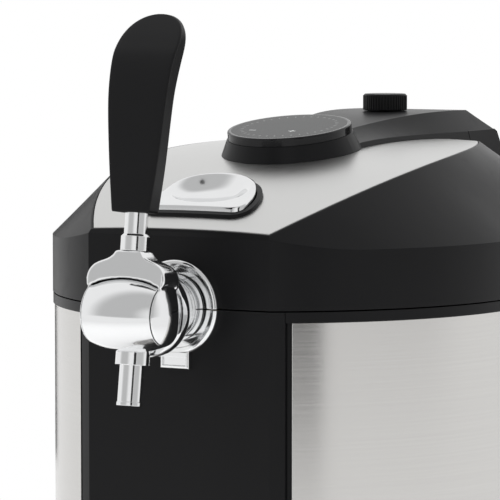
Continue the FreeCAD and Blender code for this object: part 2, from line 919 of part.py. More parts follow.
def knuckle_space(spans, z_low, z_high):
    """Room for the knuckles of the other leaf."""
    spaces = []
    for x_low, x_high in spans:
        spaces.append(hinge_rod(knuckle_radius + knuckle_clearance, x_low - knuckle_gap,
                                x_high + knuckle_gap))
    limit = box(-overrun, overrun, 0, overrun, z_low, z_high)
    return Part.makeCompound(spaces).common(limit)


def leaf_front():
    """Depth of the front face of both leaves, inside the rear wall of the frame."""
    return body_depth - panel_gap - frame_ring_width + 1.0


def leaf_space():
    """Slot in the top ring for the fixed leaf and its knuckles."""
    low, high = knuckle_span(0)[0], knuckle_span(4)[1]
    return box(low - leaf_side_gap, high + leaf_side_gap, leaf_front(), body_depth + 10,
               seam_height - leaf_height, seam_height + 1)


def hinge_lower_leaf():
    """Fixed leaf with three knuckles, let into the rear of the top ring."""
    low, high = knuckle_span(0)[0], knuckle_span(4)[1]
    plate = box(low, high, leaf_front(), leaf_front() + leaf_thickness + 1.5,
                seam_height - leaf_height, seam_height - knuckle_radius)
    pieces = [plate]
    for x_low, x_high in lower_knuckles():
        pieces.append(hinge_rod(knuckle_radius, x_low, x_high))
        pieces.append(box(x_low, x_high, leaf_front(), hinge_depth, seam_height - knuckle_radius - 1.5,
                          seam_height - knuckle_radius + 3.0))
    leaf = fuse(pieces)
    leaf = leaf.cut(knuckle_space(upper_knuckles(), seam_height - 20, seam_height + 20))
    return leaf.cut(hinge_rod(hinge_pin_radius, low - 1, high + 1))


def hinge_upper_leaf():
    """Moving leaf with two knuckles, inside the rear wall of the lid."""
    pieces = []
    low, high = knuckle_span(0)[0], knuckle_span(4)[1]
    inner = body_depth - lid_wall - 0.2
    pieces.append(box(low, high, inner - leaf_thickness, inner, seam_height + knuckle_radius + 2,
                      seam_height + leaf_height))
    for x_low, x_high in upper_knuckles():
        pieces.append(hinge_rod(knuckle_radius, x_low, x_high))
        pieces.append(box(x_low, x_high, inner - leaf_thickness, hinge_depth,
                          seam_height + knuckle_radius - 3.0, seam_height + knuckle_radius + 3.0))
    leaf = fuse(pieces)
    leaf = leaf.cut(knuckle_space(lower_knuckles(), seam_height - 20, seam_height + 20))
    return leaf.cut(hinge_rod(hinge_pin_radius + hinge_pin_gap, low - 1, high + 1))


def hinge_pin():
    """Steel pin through all five knuckles, held by the fixed leaf."""
    return hinge_rod(hinge_pin_radius, knuckle_span(0)[0] - 1, knuckle_span(4)[1] + 1)


def leg_slots(z_low, z_high):
    """Slots that the two legs of the latch pass through."""
    slots = []
    for side in (-1, 1):
        x = side * leg_offset
        slots.append(box(x - leg_width / 2 - 1, x + leg_width / 2 + 1, leg_depth - hook_length - 1.5,
                         leg_depth + leg_thickness + 1.5, z_low, z_high))
    return Part.makeCompound(slots)


def latch_prism(offset, z_low, z_high):
    """D-shaped outline of the latch button, grown by an offset."""
    half = latch_half_width + offset
    front = latch_front_depth - offset
    rear = latch_rear_depth + offset
    corner = latch_corner + offset
    bend = corner * (1.0 - math.sqrt(0.5))
    right_edges = [
        arc(Vector(half - corner, front, 0), Vector(half - bend, front + bend, 0),
            Vector(half, front + corner, 0)),
    ]
    left_edges = [mirrored(edge) for edge in right_edges]
    edges = right_edges + left_edges + [
        line(Vector(-half + corner, front, 0), Vector(half - corner, front, 0)),
        arc(Vector(half, front + corner, 0), Vector(0, rear, 0), Vector(-half, front + corner, 0)),
    ]
    prism = Part.Face(Part.Wire(Part.__sortEdges__(edges))).extrude(Vector(0, 0, z_high - z_low))
    prism.translate(Vector(0, 0, z_low))
    return prism


def latch_base_floor():
    """Height of the lower edge of the ring round the latch button."""
    return roof_height(0, latch_front_depth) - plate_thickness - lid_wall - latch_base_depth


def lid_shell():
    """Black lid moulding: wall, facets and the recessed roof under the silver plate."""
    outer = lid_form(0, 0, seam_height)
    inner = lid_form(lid_wall, plate_thickness + lid_wall, seam_height - 10)
    shell = outer.cut(inner)
    shell = shell.cut(plate_prism(plate_border).cut(below_roof(plate_thickness)))
    shell = shell.cut(latch_prism(latch_gap + latch_base_wall, seam_height, overrun))
    shell = shell.cut(regulator_space())
    shell = shell.cut(cable_space())
    shell = shell.cut(tap_hole(hole_radius, -1, lid_wall + 1))
    low, high = knuckle_span(0)[0], knuckle_span(4)[1]
    return shell.cut(box(low - leaf_side_gap, high + leaf_side_gap, body_depth - lid_wall - 1, body_depth + 5,
                         seam_height - 1, seam_height + knuckle_radius + 3.1))


def regulator_space():
    """Round hole through plate and roof for the regulator."""
    return rod(regulator_radius + regulator_gap, Vector(0, knob_depth, seam_height + dome_height),
               Vector(0, knob_depth, overrun))


def cable_space():
    """Small hole under the display for its wires."""
    return rod(regulator_radius / 2, Vector(0, display_depth, seam_height + dome_height),
               Vector(0, display_depth, overrun))


def top_plate():
    """Silver plate let into the roof of the lid."""
    plate = plate_prism(plate_border + plate_gap).common(below_roof(0)).cut(below_roof(plate_thickness))
    plate = plate.cut(latch_prism(latch_gap + latch_base_wall, seam_height, overrun))
    return plate.cut(regulator_space()).cut(cable_space())


def liner_hollow(grow):
    """Hollow of the liner over the keg, the hose and the clamp nut, grown by a wall."""
    top = seam_height + dome_height + grow
    low = seam_height - 1.0 + grow * 0.8
    dome = rod(dome_radius + grow, Vector(0, keg_depth, low), Vector(0, keg_depth, top))
    channel = box(-hose_channel - grow, hose_channel + grow, lid_wall + liner_gap, keg_depth,
                  low, seam_height + channel_height + grow)
    nut_space = box(-nut_radius - 2 - grow, nut_radius + 2 + grow, lid_wall + liner_gap,
                    shank_end_depth + 1 + grow, low, seam_height + nut_radius - 1 + grow)
    return fuse([dome, channel, nut_space])


def lid_liner():
    """Inner moulding of the lid, with a dome over the keg and a channel for the hose."""
    floor = seam_height + liner_gap
    plate = plan_prism(lid_wall + liner_gap, floor, floor + liner_thickness)
    raised = liner_hollow(liner_thickness).cut(box(-overrun, overrun, -overrun, overrun, 0, floor))
    liner = fuse([plate, raised]).cut(liner_hollow(0))
    liner = liner.cut(tap_hole(hole_radius, -1, shank_end_depth + 10))
    liner = liner.cut(leg_slots(seam_height - 1, floor + liner_thickness + 1))
    rear = box(knuckle_span(0)[0] - 1, knuckle_span(4)[1] + 1, body_depth - lid_wall - leaf_thickness - 1,
               body_depth, seam_height - 1, seam_height + leaf_height + 2)
    liner = liner.cut(rear)
    return liner.cut(rod(nozzle_radius / 2, Vector(0, keg_depth, seam_height),
                         Vector(0, keg_depth, seam_height + dome_height + 10)))


def lid_foam():
    """Ring of foam round the dome of the liner."""
    low = seam_height + liner_gap + liner_thickness
    ring = tube(lid_foam_radius, dome_radius + liner_thickness + liner_gap,
                Vector(0, keg_depth, low), Vector(0, keg_depth, low + lid_foam_height))
    reach = nut_radius + liner_thickness + 3
    return ring.cut(box(-reach, reach, 0, keg_depth - dome_radius, low - 1, low + lid_foam_height + 1))


def lid_seal():
    """Rubber lip under the liner that closes on the rim of the well, open in front for the hose."""
    inner = well_outer_radius + 0.3
    seal = tube(inner + seal_thickness, inner, Vector(0, keg_depth, well_rim_height + seal_gap),
                Vector(0, keg_depth, seam_height + liner_gap))
    notch = hose_radius + 1.5
    return seal.cut(box(-notch, notch, 0, keg_depth, 0, seam_height + 2 * liner_gap))


def console_section(depth, foot, crease, half_width, height, inset):
    """Cross-section of the console at a depth."""
    level = seam_height + height - inset
    bend = seam_height + crease
    points = [
        Vector(-foot - console_splay + inset, depth, bend - console_foot_depth),
        Vector(-foot + inset, depth, bend),
        Vector(-half_width + inset, depth, level),
        Vector(half_width - inset, depth, level),
        Vector(foot - inset, depth, bend),
        Vector(foot + console_splay - inset, depth, bend - console_foot_depth),
    ]
    return Part.makePolygon(points + points[:1])


def console_form(inset):
    """Cone under the display, joined with the ridge that runs to the rear of the lid."""
    foot = console_foot_half_width
    crease = console_crease_height
    sections = [
        console_section(console_neck_depth - 35, foot - 6, crease - 5, console_neck_half_width - 6,
                        console_neck_height - 5, inset),
        console_section(console_neck_depth, foot - 3, crease - 1, console_neck_half_width,
                        console_neck_height, inset),
        console_section(console_mid_depth, foot, crease, console_mid_half_width,
                        console_mid_height, inset),
        console_section(console_top_depth, foot + 3, crease, console_top_half_width,
                        console_top_height, inset),
        console_section(console_bend_depth, foot + 4, crease - 0.5, console_top_half_width,
                        console_top_height - 0.3, inset),
        console_section(console_rear_depth + 10, foot + 4, crease - 1, console_top_half_width,
                        console_top_height - 1.5, inset),
    ]
    ridge = Part.makeLoft(sections, True, False)
    base = console_section(0, foot + 4, crease, foot + 3.9, crease + 0.1, inset)
    rear_block = Part.Face(base).extrude(Vector(0, console_rear_depth - console_bend_depth + 25, 0))
    rear_block.translate(Vector(0, console_bend_depth - 15, 0))
    skirt = box(-foot - console_splay + inset, foot + console_splay - inset, console_bend_depth - 15,
                console_rear_depth + 5, seam_height + console_lower_height - 5,
                seam_height + crease - console_foot_depth + 0.5)
    profile = [
        Vector(-overrun, 0, seam_height + console_lower_height),
        Vector(-overrun, 0, seam_height + overrun),
        Vector(-overrun, console_bend_depth - inset, seam_height + overrun),
        Vector(-overrun, console_bend_depth - inset, seam_height + console_top_height),
        Vector(-overrun, console_shelf_depth - inset, seam_height + console_shelf_height),
        Vector(-overrun, console_rear_depth - inset, seam_height + console_shelf_height - 28),
        Vector(-overrun, console_rear_depth - inset, seam_height + console_lower_height),
    ]
    side_view = polygon_prism(profile, Vector(2 * overrun, 0, 0))
    ridge = fuse([ridge, rear_block, skirt]).common(side_view)
    rim_radius = glass_radius + rim_width + cone_step
    cone = Part.makeCone(rim_radius + cone_flare * cone_height - inset, rim_radius - inset, cone_height)
    cone.translate(Vector(0, 0, -rim_height - cone_height))
    cone = facing(cone, display_centre(), display_tilt)
    above = Part.makeCylinder(rim_radius + 1, 40, Vector(0, 0, -rim_height))
    above = facing(above, display_centre(), display_tilt)
    return fuse([ridge.cut(above), cone])


def display_centre():
    """Centre of the face of the round display."""
    return Vector(0, display_depth, seam_height + display_height)


def console():
    """Console moulding on the lid, hollow inside."""
    shell = console_form(0).cut(lid_form(0, 0, seam_height - 20))
    hollow = console_form(console_wall)
    window = Part.makeCylinder(glass_radius - 4, 30, Vector(0, 0, -rim_height - 20))
    shell = shell.cut(hollow).cut(facing(window, display_centre(), display_tilt))
    top = seam_height + console_top_height
    stem_hole = rod(stem_radius + stem_gap, Vector(0, knob_depth, top - 15), Vector(0, knob_depth, top + 5))
    return shell.cut(stem_hole)


def display_rim():
    """Glossy ring that frames the round glass."""
    ring = Part.makeCylinder(glass_radius + rim_width, rim_height, Vector(0, 0, -rim_height))
    ring = ring.makeFillet(0.9, [edge for edge in ring.Edges if edge.BoundBox.ZMin > -0.1])
    ring = ring.cut(Part.makeCylinder(glass_radius, glass_thickness + 1, Vector(0, 0, -glass_thickness)))
    bore = Part.makeCylinder(glass_radius - 5, rim_height * 2, Vector(0, 0, -rim_height * 1.5))
    ring = ring.cut(bore)
    return facing(ring, display_centre(), display_tilt)


def display_glass():
    """Round glass of the touch display."""
    glass = Part.makeCylinder(glass_radius, glass_thickness, Vector(0, 0, -glass_thickness))
    return facing(glass, display_centre(), display_tilt)


def control_board():
    """Round board under the glass, on four posts against the rim."""
    face = -glass_thickness - 7.0
    radius = glass_radius - 5.5
    pieces = [Part.makeCylinder(radius, board_thickness, Vector(0, 0, face - board_thickness))]
    for turn in range(4):
        angle = 45 + 90 * turn
        place = polar(radius - 2.5, angle)
        pieces.append(Part.makeCylinder(1.5, -face - glass_thickness, Vector(place.x, place.y, face)))
    pieces.append(box(-12, 12, -8, 8, face, face + 5.0))
    return facing(fuse(pieces), display_centre(), display_tilt)


def pressure_knob():
    """Ribbed knob with its stem."""
    low = seam_height + console_top_height + knob_gap
    foot = Vector(0, knob_depth, low)
    core = rod(knob_radius - knob_rib_depth, foot, foot + Z_AXIS * knob_height)
    core = core.makeFillet(1.0, [edge for edge in core.Edges if edge.BoundBox.ZMin > low + knob_height - 0.1])
    pieces = [core]
    rib_width = math.pi * knob_radius / knob_rib_count
    for turn in range(knob_rib_count):
        rib = box(knob_radius - 2.0, knob_radius, -rib_width / 2, rib_width / 2, 0.3, knob_height - 1.0)
        rib.rotate(Vector(0, 0, 0), Z_AXIS, 360.0 / knob_rib_count * turn)
        rib.translate(foot)
        pieces.append(rib)
    stem_end = Vector(0, knob_depth, regulator_top() - 6)
    pieces.append(rod(stem_radius, stem_end, foot + Z_AXIS))
    return fuse(pieces)


def regulator_top():
    """Height of the top of the pressure regulator."""
    return seam_height + console_top_height - console_wall - 1.0


def cartridge_level():
    """Height of the axis of the gas cartridge."""
    tube_top = gas_level() + gas_tube_radius
    return tube_top + cartridge_radius + holder_wall + 2.0


def regulator_body():
    """Pressure regulator below the knob, with a seat for the neck of the cartridge."""
    foot = Vector(0, knob_depth, regulator_foot())
    top = Vector(0, knob_depth, regulator_top())
    body = rod(regulator_radius, foot, top)
    body = body.cut(rod(stem_radius + stem_gap, top - Z_AXIS * 10, top + Z_AXIS))
    seat = cartridge_line(cartridge_neck_radius, knob_depth - regulator_radius - 1,
                          knob_depth - regulator_radius + 7)
    return body.cut(seat).cut(gas_line())


def regulator_foot():
    """Height of the underside of the pressure regulator."""
    return cartridge_level() - holder_wall - cartridge_radius + 2


def cartridge_line(radius, start, end):
    """A bar on the axis of the cartridge, from one depth to another."""
    return rod(radius, Vector(0, start, cartridge_level()), Vector(0, end, cartridge_level()))


def cartridge_rear():
    """Depth of the shoulder of the cartridge."""
    return knob_depth - regulator_radius - 3.0


def co2_cartridge():
    """Small steel gas cartridge with a domed end and a neck."""
    rear = cartridge_rear()
    front = rear - cartridge_length
    body = cartridge_line(cartridge_radius, front, rear)
    ends = [edge for edge in body.Edges if edge.BoundBox.YLength < 0.1]
    body = body.makeFillet(cartridge_radius * 0.6, ends)
    neck = cartridge_line(cartridge_neck_radius - 0.1, rear - 4, rear + cartridge_neck_length - 1)
    return fuse([body, neck])


def cartridge_holder():
    """Sleeve screwed to the regulator that holds the cartridge."""
    rear = knob_depth - regulator_radius + 1.5
    front = cartridge_rear() - cartridge_length - holder_wall - 1
    outer = cartridge_line(cartridge_radius + holder_gap + holder_wall, front, rear)
    inner = cartridge_line(cartridge_radius + holder_gap, front + holder_wall, rear + 1)
    outer = outer.cut(inner)
    return outer.cut(rod(regulator_radius, Vector(0, knob_depth, 0), Vector(0, knob_depth, overrun)))


def gas_level():
    """Height of the gas tube over the dome of the liner."""
    return seam_height + dome_height + liner_thickness + gas_tube_radius + 1.0


def gas_nozzle():
    """Nozzle in the dome of the liner, just over the keg coupler."""
    low = seam_height + coupler_height / 2 + nozzle_gap
    top = seam_height + dome_height
    head_top = Vector(0, keg_depth, gas_level() + gas_tube_radius + 1)
    pieces = [
        rod(nozzle_radius, Vector(0, keg_depth, low), Vector(0, keg_depth, top)),
        rod(nozzle_radius / 2, Vector(0, keg_depth, top - 1), head_top),
        rod(nozzle_radius - 1, Vector(0, keg_depth, top + liner_thickness), head_top),
    ]
    return fuse(pieces).cut(gas_line())


def gas_line():
    """Gas tube from the nozzle back under the cartridge and up into the regulator."""
    level = gas_level()
    bend = 8.0
    start = Vector(0, keg_depth + nozzle_radius - 1, level)
    turn_in = Vector(0, knob_depth - bend, level)
    turn_out = Vector(0, knob_depth, level + bend)
    corner = bend * math.sqrt(0.5)
    middle = Vector(0, knob_depth - bend + corner, level + bend - corner)
    path = Part.Wire([line(start, turn_in), arc(turn_in, middle, turn_out)])
    ring = Part.Wire(Part.makeCircle(gas_tube_radius, start, Y_AXIS))
    return path.makePipeShell([ring], True, False)


def latch_base():
    """Black D-shaped ring round the latch button."""
    floor = latch_base_floor()
    ring = latch_prism(latch_gap + latch_base_wall, floor, overrun)
    ring = ring.cut(latch_prism(latch_gap, floor - 1, overrun + 1))
    return ring.common(below_roof(-latch_base_proud))


def latch_bar_top():
    """Height of the top of the stamped bar under the latch button."""
    return latch_base_floor() - latch_bar_drop


def finger_scoop():
    """Long hollow in the top of the button, steeper towards the ridge behind it."""
    rim = math.sqrt(1.0 - (1.0 - scoop_depth / scoop_round) ** 2)
    stretch = FreeCAD.Matrix()
    stretch.scale(scoop_half_width / rim, scoop_half_length / rim, scoop_round)
    scoop = Part.makeSphere(1.0).transformGeometry(stretch)
    rise = roof_height(0, latch_rear_depth) - roof_height(0, latch_front_depth)
    slope = math.atan(rise / (latch_rear_depth - latch_front_depth))
    scoop.rotate(Vector(0, 0, 0), X_AXIS, math.degrees(slope))
    depth = latch_front_depth + 2.0 + scoop_half_length
    level = roof_height(0, depth) + latch_proud - scoop_depth + scoop_round
    scoop.translate(Vector(0, depth, level))
    return scoop


def latch_button():
    """Chrome D-shaped button with a finger scoop and a post down to its bar."""
    floor = latch_base_floor()
    body = latch_prism(0, floor, overrun).common(below_roof(-latch_proud))
    hollow = latch_prism(-button_wall, floor - 1, overrun).common(below_roof(scoop_depth + 1))
    body = body.cut(hollow)
    body = body.cut(finger_scoop())
    post = rod(post_radius, Vector(0, post_depth, latch_bar_top()),
               Vector(0, post_depth, roof_height(0, post_depth) - scoop_depth))
    return fuse([body, post])


def latch_hooks():
    """Stamped bar with two legs that reach down through the rim of the body."""
    top = latch_bar_top()
    reach = leg_offset + leg_width / 2
    pieces = [box(-reach, reach, leg_depth, leg_depth + latch_bar_depth, top - latch_bar_thickness, top)]
    for side in (-1, 1):
        x = side * leg_offset
        pieces.append(box(x - leg_width / 2, x + leg_width / 2, leg_depth, leg_depth + leg_thickness,
                          leg_bottom, top))
        pieces.append(box(x - leg_width / 2, x + leg_width / 2, leg_depth - hook_length,
                          leg_depth + leg_thickness, leg_bottom, leg_bottom + 2.5))
    return fuse(pieces)


def latch_striker():
    """Steel keeper plate in the top ring, in front of both hooks."""
    plates = []
    for side in (-1, 1):
        x = side * leg_offset
        front = leg_depth - hook_length - 1.5
        plates.append(box(x - leg_width / 2 - 1, x + leg_width / 2 + 1, front - 2.0, front,
                          seam_height - frame_ring_drop, body_top))
    return Part.makeCompound(plates)


def latch_spring():
    """Coil spring under the latch bar."""
    low = seam_height + channel_height + liner_thickness
    height = latch_bar_top() - latch_bar_thickness - low
    pitch = (height - 2 * spring_wire_radius) / spring_turns
    helix = Part.makeHelix(pitch, height - 2 * spring_wire_radius, spring_radius)
    helix.translate(Vector(0, post_depth, low + spring_wire_radius))
    start = Vector(spring_radius, post_depth, low + spring_wire_radius)
    ring = Part.Wire(Part.makeCircle(spring_wire_radius, start, Y_AXIS))
    return Part.Wire(helix.Edges).makePipeShell([ring], True, True)


def flange_ring():
    """Round chrome flange in front of the panel, before it is split at the seam."""
    front = -flange_thickness
    ring = rod(flange_radius, Vector(0, front, seam_height), Vector(0, 0, seam_height))
    front_rim = [edge for edge in ring.Edges if edge.BoundBox.YMax < front + 0.1]
    ring = ring.makeFillet(2.2, front_rim)
    dish = tap_hole(flange_radius - flange_rim, front - 1, front + flange_dish)
    return ring.cut(dish).cut(tap_hole(hole_radius + flange_step, front - 1, 1))


def half_space(upper):
    """The space above or below the seam."""
    if upper:
        return box(-overrun, overrun, -overrun, overrun, seam_height, seam_height + overrun)
    return box(-overrun, overrun, -overrun, overrun, -overrun, body_top)


def flange_upper():
    """Upper half of the flange, on the lid."""
    return flange_ring().common(half_space(True))


def flange_lower():
    """Lower half of the flange on the body, with its small tab."""
    rim_low = seam_height - flange_radius
    tab_low = rim_low - tab_height
    tab = box(-tab_half_width, tab_half_width, -flange_thickness, 0, tab_low, rim_low + 3.0)
    tab = tab.makeFillet(1.4, [edge for edge in tab.Edges if edge.BoundBox.YMax < -flange_thickness + 0.1])
    recess = box(-tab_half_width + 1.8, tab_half_width - 1.8, -flange_thickness - 1, -flange_thickness + 1.0,
                 tab_low + 1.8, rim_low - 1.0)
    return fuse([flange_ring().common(half_space(False)), tab]).cut(recess)


def tap_shank():
    """Shank of the tap with its collar in front and its bore."""
    pieces = [
        tap_hole(shank_radius, collar_rear_depth - 1, shank_end_depth),
        tap_hole(shank_step_radius, shank_step_depth, -flange_thickness - 0.5),
    ]
    collar = tap_hole(collar_radius, collar_front_depth, collar_rear_depth)
    rims = [edge for edge in collar.Edges if edge.BoundBox.YLength < 0.1]
    pieces.append(collar.makeFillet(2.5, rims))
    shank = fuse(pieces).cut(tap_hole(shank_bore, collar_front_depth - 1, shank_end_depth + 1))
    centre = tap_centre()
    cap_space = rod(end_cap_radius + end_cap_line + yoke_gap, centre - X_AXIS * collar_radius,
                    centre + X_AXIS * collar_radius)
    return shank.cut(barrel_form(0.0)).cut(cap_space)


def barrel_form(grow):
    """Barrel of the tap: a turned body on a cross axis with two flat ends."""
    half = barrel_half_length + grow
    end = barrel_end_radius + grow
    middle = barrel_mid_radius + grow
    edges = [
        line(Vector(-half, 0, 0), Vector(-half, 0, end)),
        arc(Vector(-half, 0, end), Vector(0, 0, middle), Vector(half, 0, end)),
        line(Vector(half, 0, end), Vector(half, 0, 0)),
        line(Vector(half, 0, 0), Vector(-half, 0, 0)),
    ]
    barrel = Part.Face(Part.Wire(edges)).revolve(Vector(0, 0, 0), X_AXIS, 360)
    barrel.translate(tap_centre())
    return barrel


def tap_centre():
    """Centre of the barrel, on the cross axis of the lever."""
    return Vector(0, tap_axis_depth, seam_height)


def spout_direction():
    """Direction of the spout: down and a little forward."""
    angle = math.radians(spout_lean)
    return Vector(0, -math.sin(angle), -math.cos(angle))


def spout_point(drop):
    """Point on the axis of the spout at a drop below the seam."""
    return Vector(0, spout_top_depth, seam_height - barrel_mid_radius) + spout_direction() * (
        (drop - barrel_mid_radius) / math.cos(math.radians(spout_lean)))


def tap_barrel():
    """Body of the tap with its passages and the bore of the pivot pin."""
    barrel = barrel_form(0.0)
    centre = tap_centre()
    barrel = barrel.cut(rod(shank_bore, centre, centre + Vector(0, 40, 0)))
    barrel = barrel.cut(rod(shank_bore, spout_point(0), spout_point(barrel_mid_radius + 5)))
    pin = rod(pivot_radius + pivot_gap, centre - X_AXIS * 40, centre + X_AXIS * 40)
    return barrel.cut(pin)


def spout():
    """Spout with a collar under the barrel and a thin lip at its end."""
    collar_top = spout_point(barrel_mid_radius - 4)
    collar_end = spout_point(barrel_mid_radius + spout_collar_height)
    end = spout_point(spout_end_drop - spout_radius * math.sin(math.radians(spout_lean)))
    pieces = [
        rod(spout_collar_radius, collar_top, collar_end),
        rod(spout_radius, collar_end - spout_direction(), end),
        rod(spout_radius + 0.35, end - spout_direction() * 2.0, end),
    ]
    whole = fuse(pieces).cut(rod(spout_bore, collar_top - spout_direction() * 5, end + spout_direction() * 5))
    return whole.cut(barrel_form(0.0))


def shank_nut():
    """Clamp nut behind the front wall."""
    corners = []
    for turn in range(6):
        place = polar(nut_radius, 60 * turn)
        corners.append(Vector(place.x, ring_inner_inset, seam_height + place.y))
    nut = polygon_prism(corners, Vector(0, nut_thickness, 0))
    return nut.cut(tap_hole(shank_radius, 0, shank_end_depth + 1))


def beer_line():
    """Short hose from the shank to the keg coupler."""
    line_end = keg_depth - coupler_radius + 1.0
    hose = tap_hole(hose_radius, shank_end_depth, line_end).cut(tap_hole(hose_bore, 0, keg_depth))
    return hose.cut(coupler_solid())


def coupler_solid():
    """Outer form of the keg coupler."""
    low = Vector(0, keg_depth, seam_height - coupler_height / 2)
    top = Vector(0, keg_depth, seam_height + coupler_height / 2)
    body = rod(coupler_radius, low, top)
    return body.makeFillet(2.0, [edge for edge in body.Edges if edge.BoundBox.ZLength < 0.1])


def keg_coupler():
    """Coupler that snaps over the neck of the keg, open below and with a cup for the nozzle."""
    body = coupler_solid()
    neck = rod(coupler_radius - 4, Vector(0, keg_depth, seam_height - coupler_height),
               Vector(0, keg_depth, seam_height - 1))
    port = tap_hole(hose_bore, keg_depth - coupler_radius - 1, keg_depth - 8)
    return body.cut(neck).cut(port)


def lever_frame(shape):
    """Carries a shape made upright at the origin to the tap, leaning back."""
    return facing(shape, tap_centre(), -lever_lean)


def end_cap_form(side):
    """Domed disc over one end of the barrel."""
    inner = Vector(side * (barrel_half_length + yoke_gap / 2), 0, 0)
    web = rod(end_cap_radius + end_cap_line, inner, inner + X_AXIS * side * end_cap_thickness)
    ball_radius = (end_cap_radius ** 2 + end_cap_dome ** 2) / (2.0 * end_cap_dome)
    face = inner + X_AXIS * side * end_cap_thickness
    ball = Part.makeSphere(ball_radius, face + X_AXIS * side * (end_cap_dome - ball_radius))
    dome = rod(end_cap_radius, inner, face + X_AXIS * side * end_cap_dome * 2).common(ball)
    return fuse([web, dome])


def lever_yoke():
    """Saddle over the barrel with an ear at each end and discs on the pivot pin."""
    half = yoke_half_length
    top = yoke_top
    neck = rod_collar_radius
    shoulder = half - neck
    rise = top - yoke_round_height
    right = [
        Vector(half, -overrun, yoke_round_height),
        Vector(half - 0.02 * shoulder, -overrun, yoke_round_height + 0.18 * rise),
        Vector(half - 0.13 * shoulder, -overrun, yoke_round_height + 0.4 * rise),
        Vector(half - 0.34 * shoulder, -overrun, yoke_round_height + 0.57 * rise),
        Vector(half - 0.66 * shoulder, -overrun, yoke_round_height + 0.69 * rise),
        Vector(half - 0.9 * shoulder, -overrun, yoke_round_height + 0.83 * rise),
        Vector(neck, -overrun, top),
    ]
    left = [Vector(-point.x, point.y, point.z) for point in reversed(right)]
    low_right = Vector(half - 0.4, -overrun, yoke_low)
    low_left = Vector(-half + 0.4, -overrun, yoke_low)
    front_view = [
        line(low_left, low_right),
        line(low_right, right[0]),
        spline(right),
        line(right[-1], left[0]),
        spline(left),
        line(left[-1], low_left),
    ]
    front_form = extruded(front_view, Vector(0, 2 * overrun, 0))
    wide = yoke_half_width
    back = [
        Vector(-overrun, wide, yoke_low),
        Vector(-overrun, wide, yoke_low + 0.45 * (top - yoke_low)),
        Vector(-overrun, neck + 0.5 * (wide - neck), top - 0.25 * (top - yoke_low)),
        Vector(-overrun, neck, top),
    ]
    front = [Vector(point.x, -point.y, point.z) for point in reversed(back)]
    side_view = [
        spline(back),
        line(back[-1], front[0]),
        spline(front),
        line(front[-1], back[0]),
    ]
    side_form = extruded(side_view, Vector(2 * overrun, 0, 0))
    saddle = front_form.common(side_form)
    room = barrel_form(yoke_gap)
    room.translate(tap_centre() * -1)
    room = room.common(box(-barrel_half_length - yoke_gap / 2, barrel_half_length + yoke_gap / 2,
                           -overrun, overrun, -overrun, overrun))
    web_face = barrel_half_length + yoke_gap / 2 + end_cap_thickness
    saddle = saddle.cut(room)
    for side in (-1, 1):
        arch = rod(end_cap_radius + end_cap_line, X_AXIS * side * web_face, X_AXIS * side * overrun)
        saddle = saddle.cut(arch)
    yoke = fuse([saddle, end_cap_form(-1), end_cap_form(1)])
    reach = barrel_half_length + yoke_gap / 2 + end_cap_thickness / 2
    pin = rod(pivot_radius, Vector(-reach, 0, 0), Vector(reach, 0, 0))
    return lever_frame(yoke.cut(pin))


def pivot_pin():
    """Pin through the barrel that joins both discs of the yoke."""
    reach = barrel_half_length + yoke_gap / 2 + end_cap_thickness / 2
    return lever_frame(rod(pivot_radius, Vector(-reach, 0, 0), Vector(reach, 0, 0)))


def lever_rod():
    """Chrome collar and rod between the yoke and the handle."""
    collar = rod(rod_collar_radius, Vector(0, 0, yoke_top), Vector(0, 0, rod_collar_top))
    top_edges = [edge for edge in collar.Edges if edge.BoundBox.ZMin > rod_collar_top - 0.1]
    collar = collar.makeChamfer(1.2, top_edges)
    shaft = rod(rod_radius, Vector(0, 0, yoke_top), Vector(0, 0, handle_bottom + handle_socket_depth))
    return lever_frame(fuse([collar, shaft]))


def handle_outline(inset, y):
    """Front view of the handle as a closed wire: it widens upwards to a round top."""
    low = handle_bottom
    round_start = low + handle_length - handle_round_height
    narrow = handle_bottom_half_width - inset
    wide = handle_half_width - inset
    rise = round_start - low
    right = [
        Vector(narrow, y, low),
        Vector(narrow + 0.46 * (wide - narrow), y, low + 0.33 * rise),
        Vector(narrow + 0.79 * (wide - narrow), y, low + 0.66 * rise),
        Vector(wide, y, round_start),
    ]
    left = [Vector(-point.x, y, point.z) for point in reversed(right)]
    crown = []
    for step in range(9):
        angle = math.pi * step / 8
        level = round_start + (handle_round_height - inset) * math.sin(angle)
        crown.append(Vector(wide * math.cos(angle), y, level))
    return Part.Wire([spline(right), spline(crown), spline(left), line(left[-1], right[0])])


def handle_profile():
    """Side view of the handle: it hooks back towards its top and thins out to an edge."""
    low = handle_bottom
    front = -handle_face
    back = front + handle_thickness
    face_points = [
        Vector(0, front, low - 0.01 * handle_length),
        Vector(0, front - 0.2, low + 0.3 * handle_length),
        Vector(0, front - 0.3, low + 0.55 * handle_length),
        Vector(0, front + 0.06 * (handle_hook + handle_face), low + 0.68 * handle_length),
        Vector(0, front + 0.2 * (handle_hook + handle_face), low + 0.78 * handle_length),
        Vector(0, front + 0.45 * (handle_hook + handle_face), low + 0.86 * handle_length),
        Vector(0, front + 0.7 * (handle_hook + handle_face), low + 0.93 * handle_length),
        Vector(0, handle_hook, low + 1.01 * handle_length),
    ]
    back_points = [
        Vector(0, handle_hook + 2.6, low + 1.01 * handle_length),
        Vector(0, handle_hook + 2.0, low + 0.92 * handle_length),
        Vector(0, back + 0.5 * (handle_hook - back) + 1.6, low + 0.78 * handle_length),
        Vector(0, back - handle_waist + 0.6, low + 0.6 * handle_length),
        Vector(0, back - handle_waist, low + 0.45 * handle_length),
        Vector(0, back - 0.2, low + 0.2 * handle_length),
        Vector(0, back, low - 0.01 * handle_length),
    ]
    edges = [
        spline(face_points),
        line(face_points[-1], back_points[0]),
        spline(back_points),
        line(back_points[-1], face_points[0]),
    ]
    profile = extruded(edges, Vector(4 * handle_half_width, 0, 0))
    profile.translate(Vector(-2 * handle_half_width, 0, 0))
    return profile


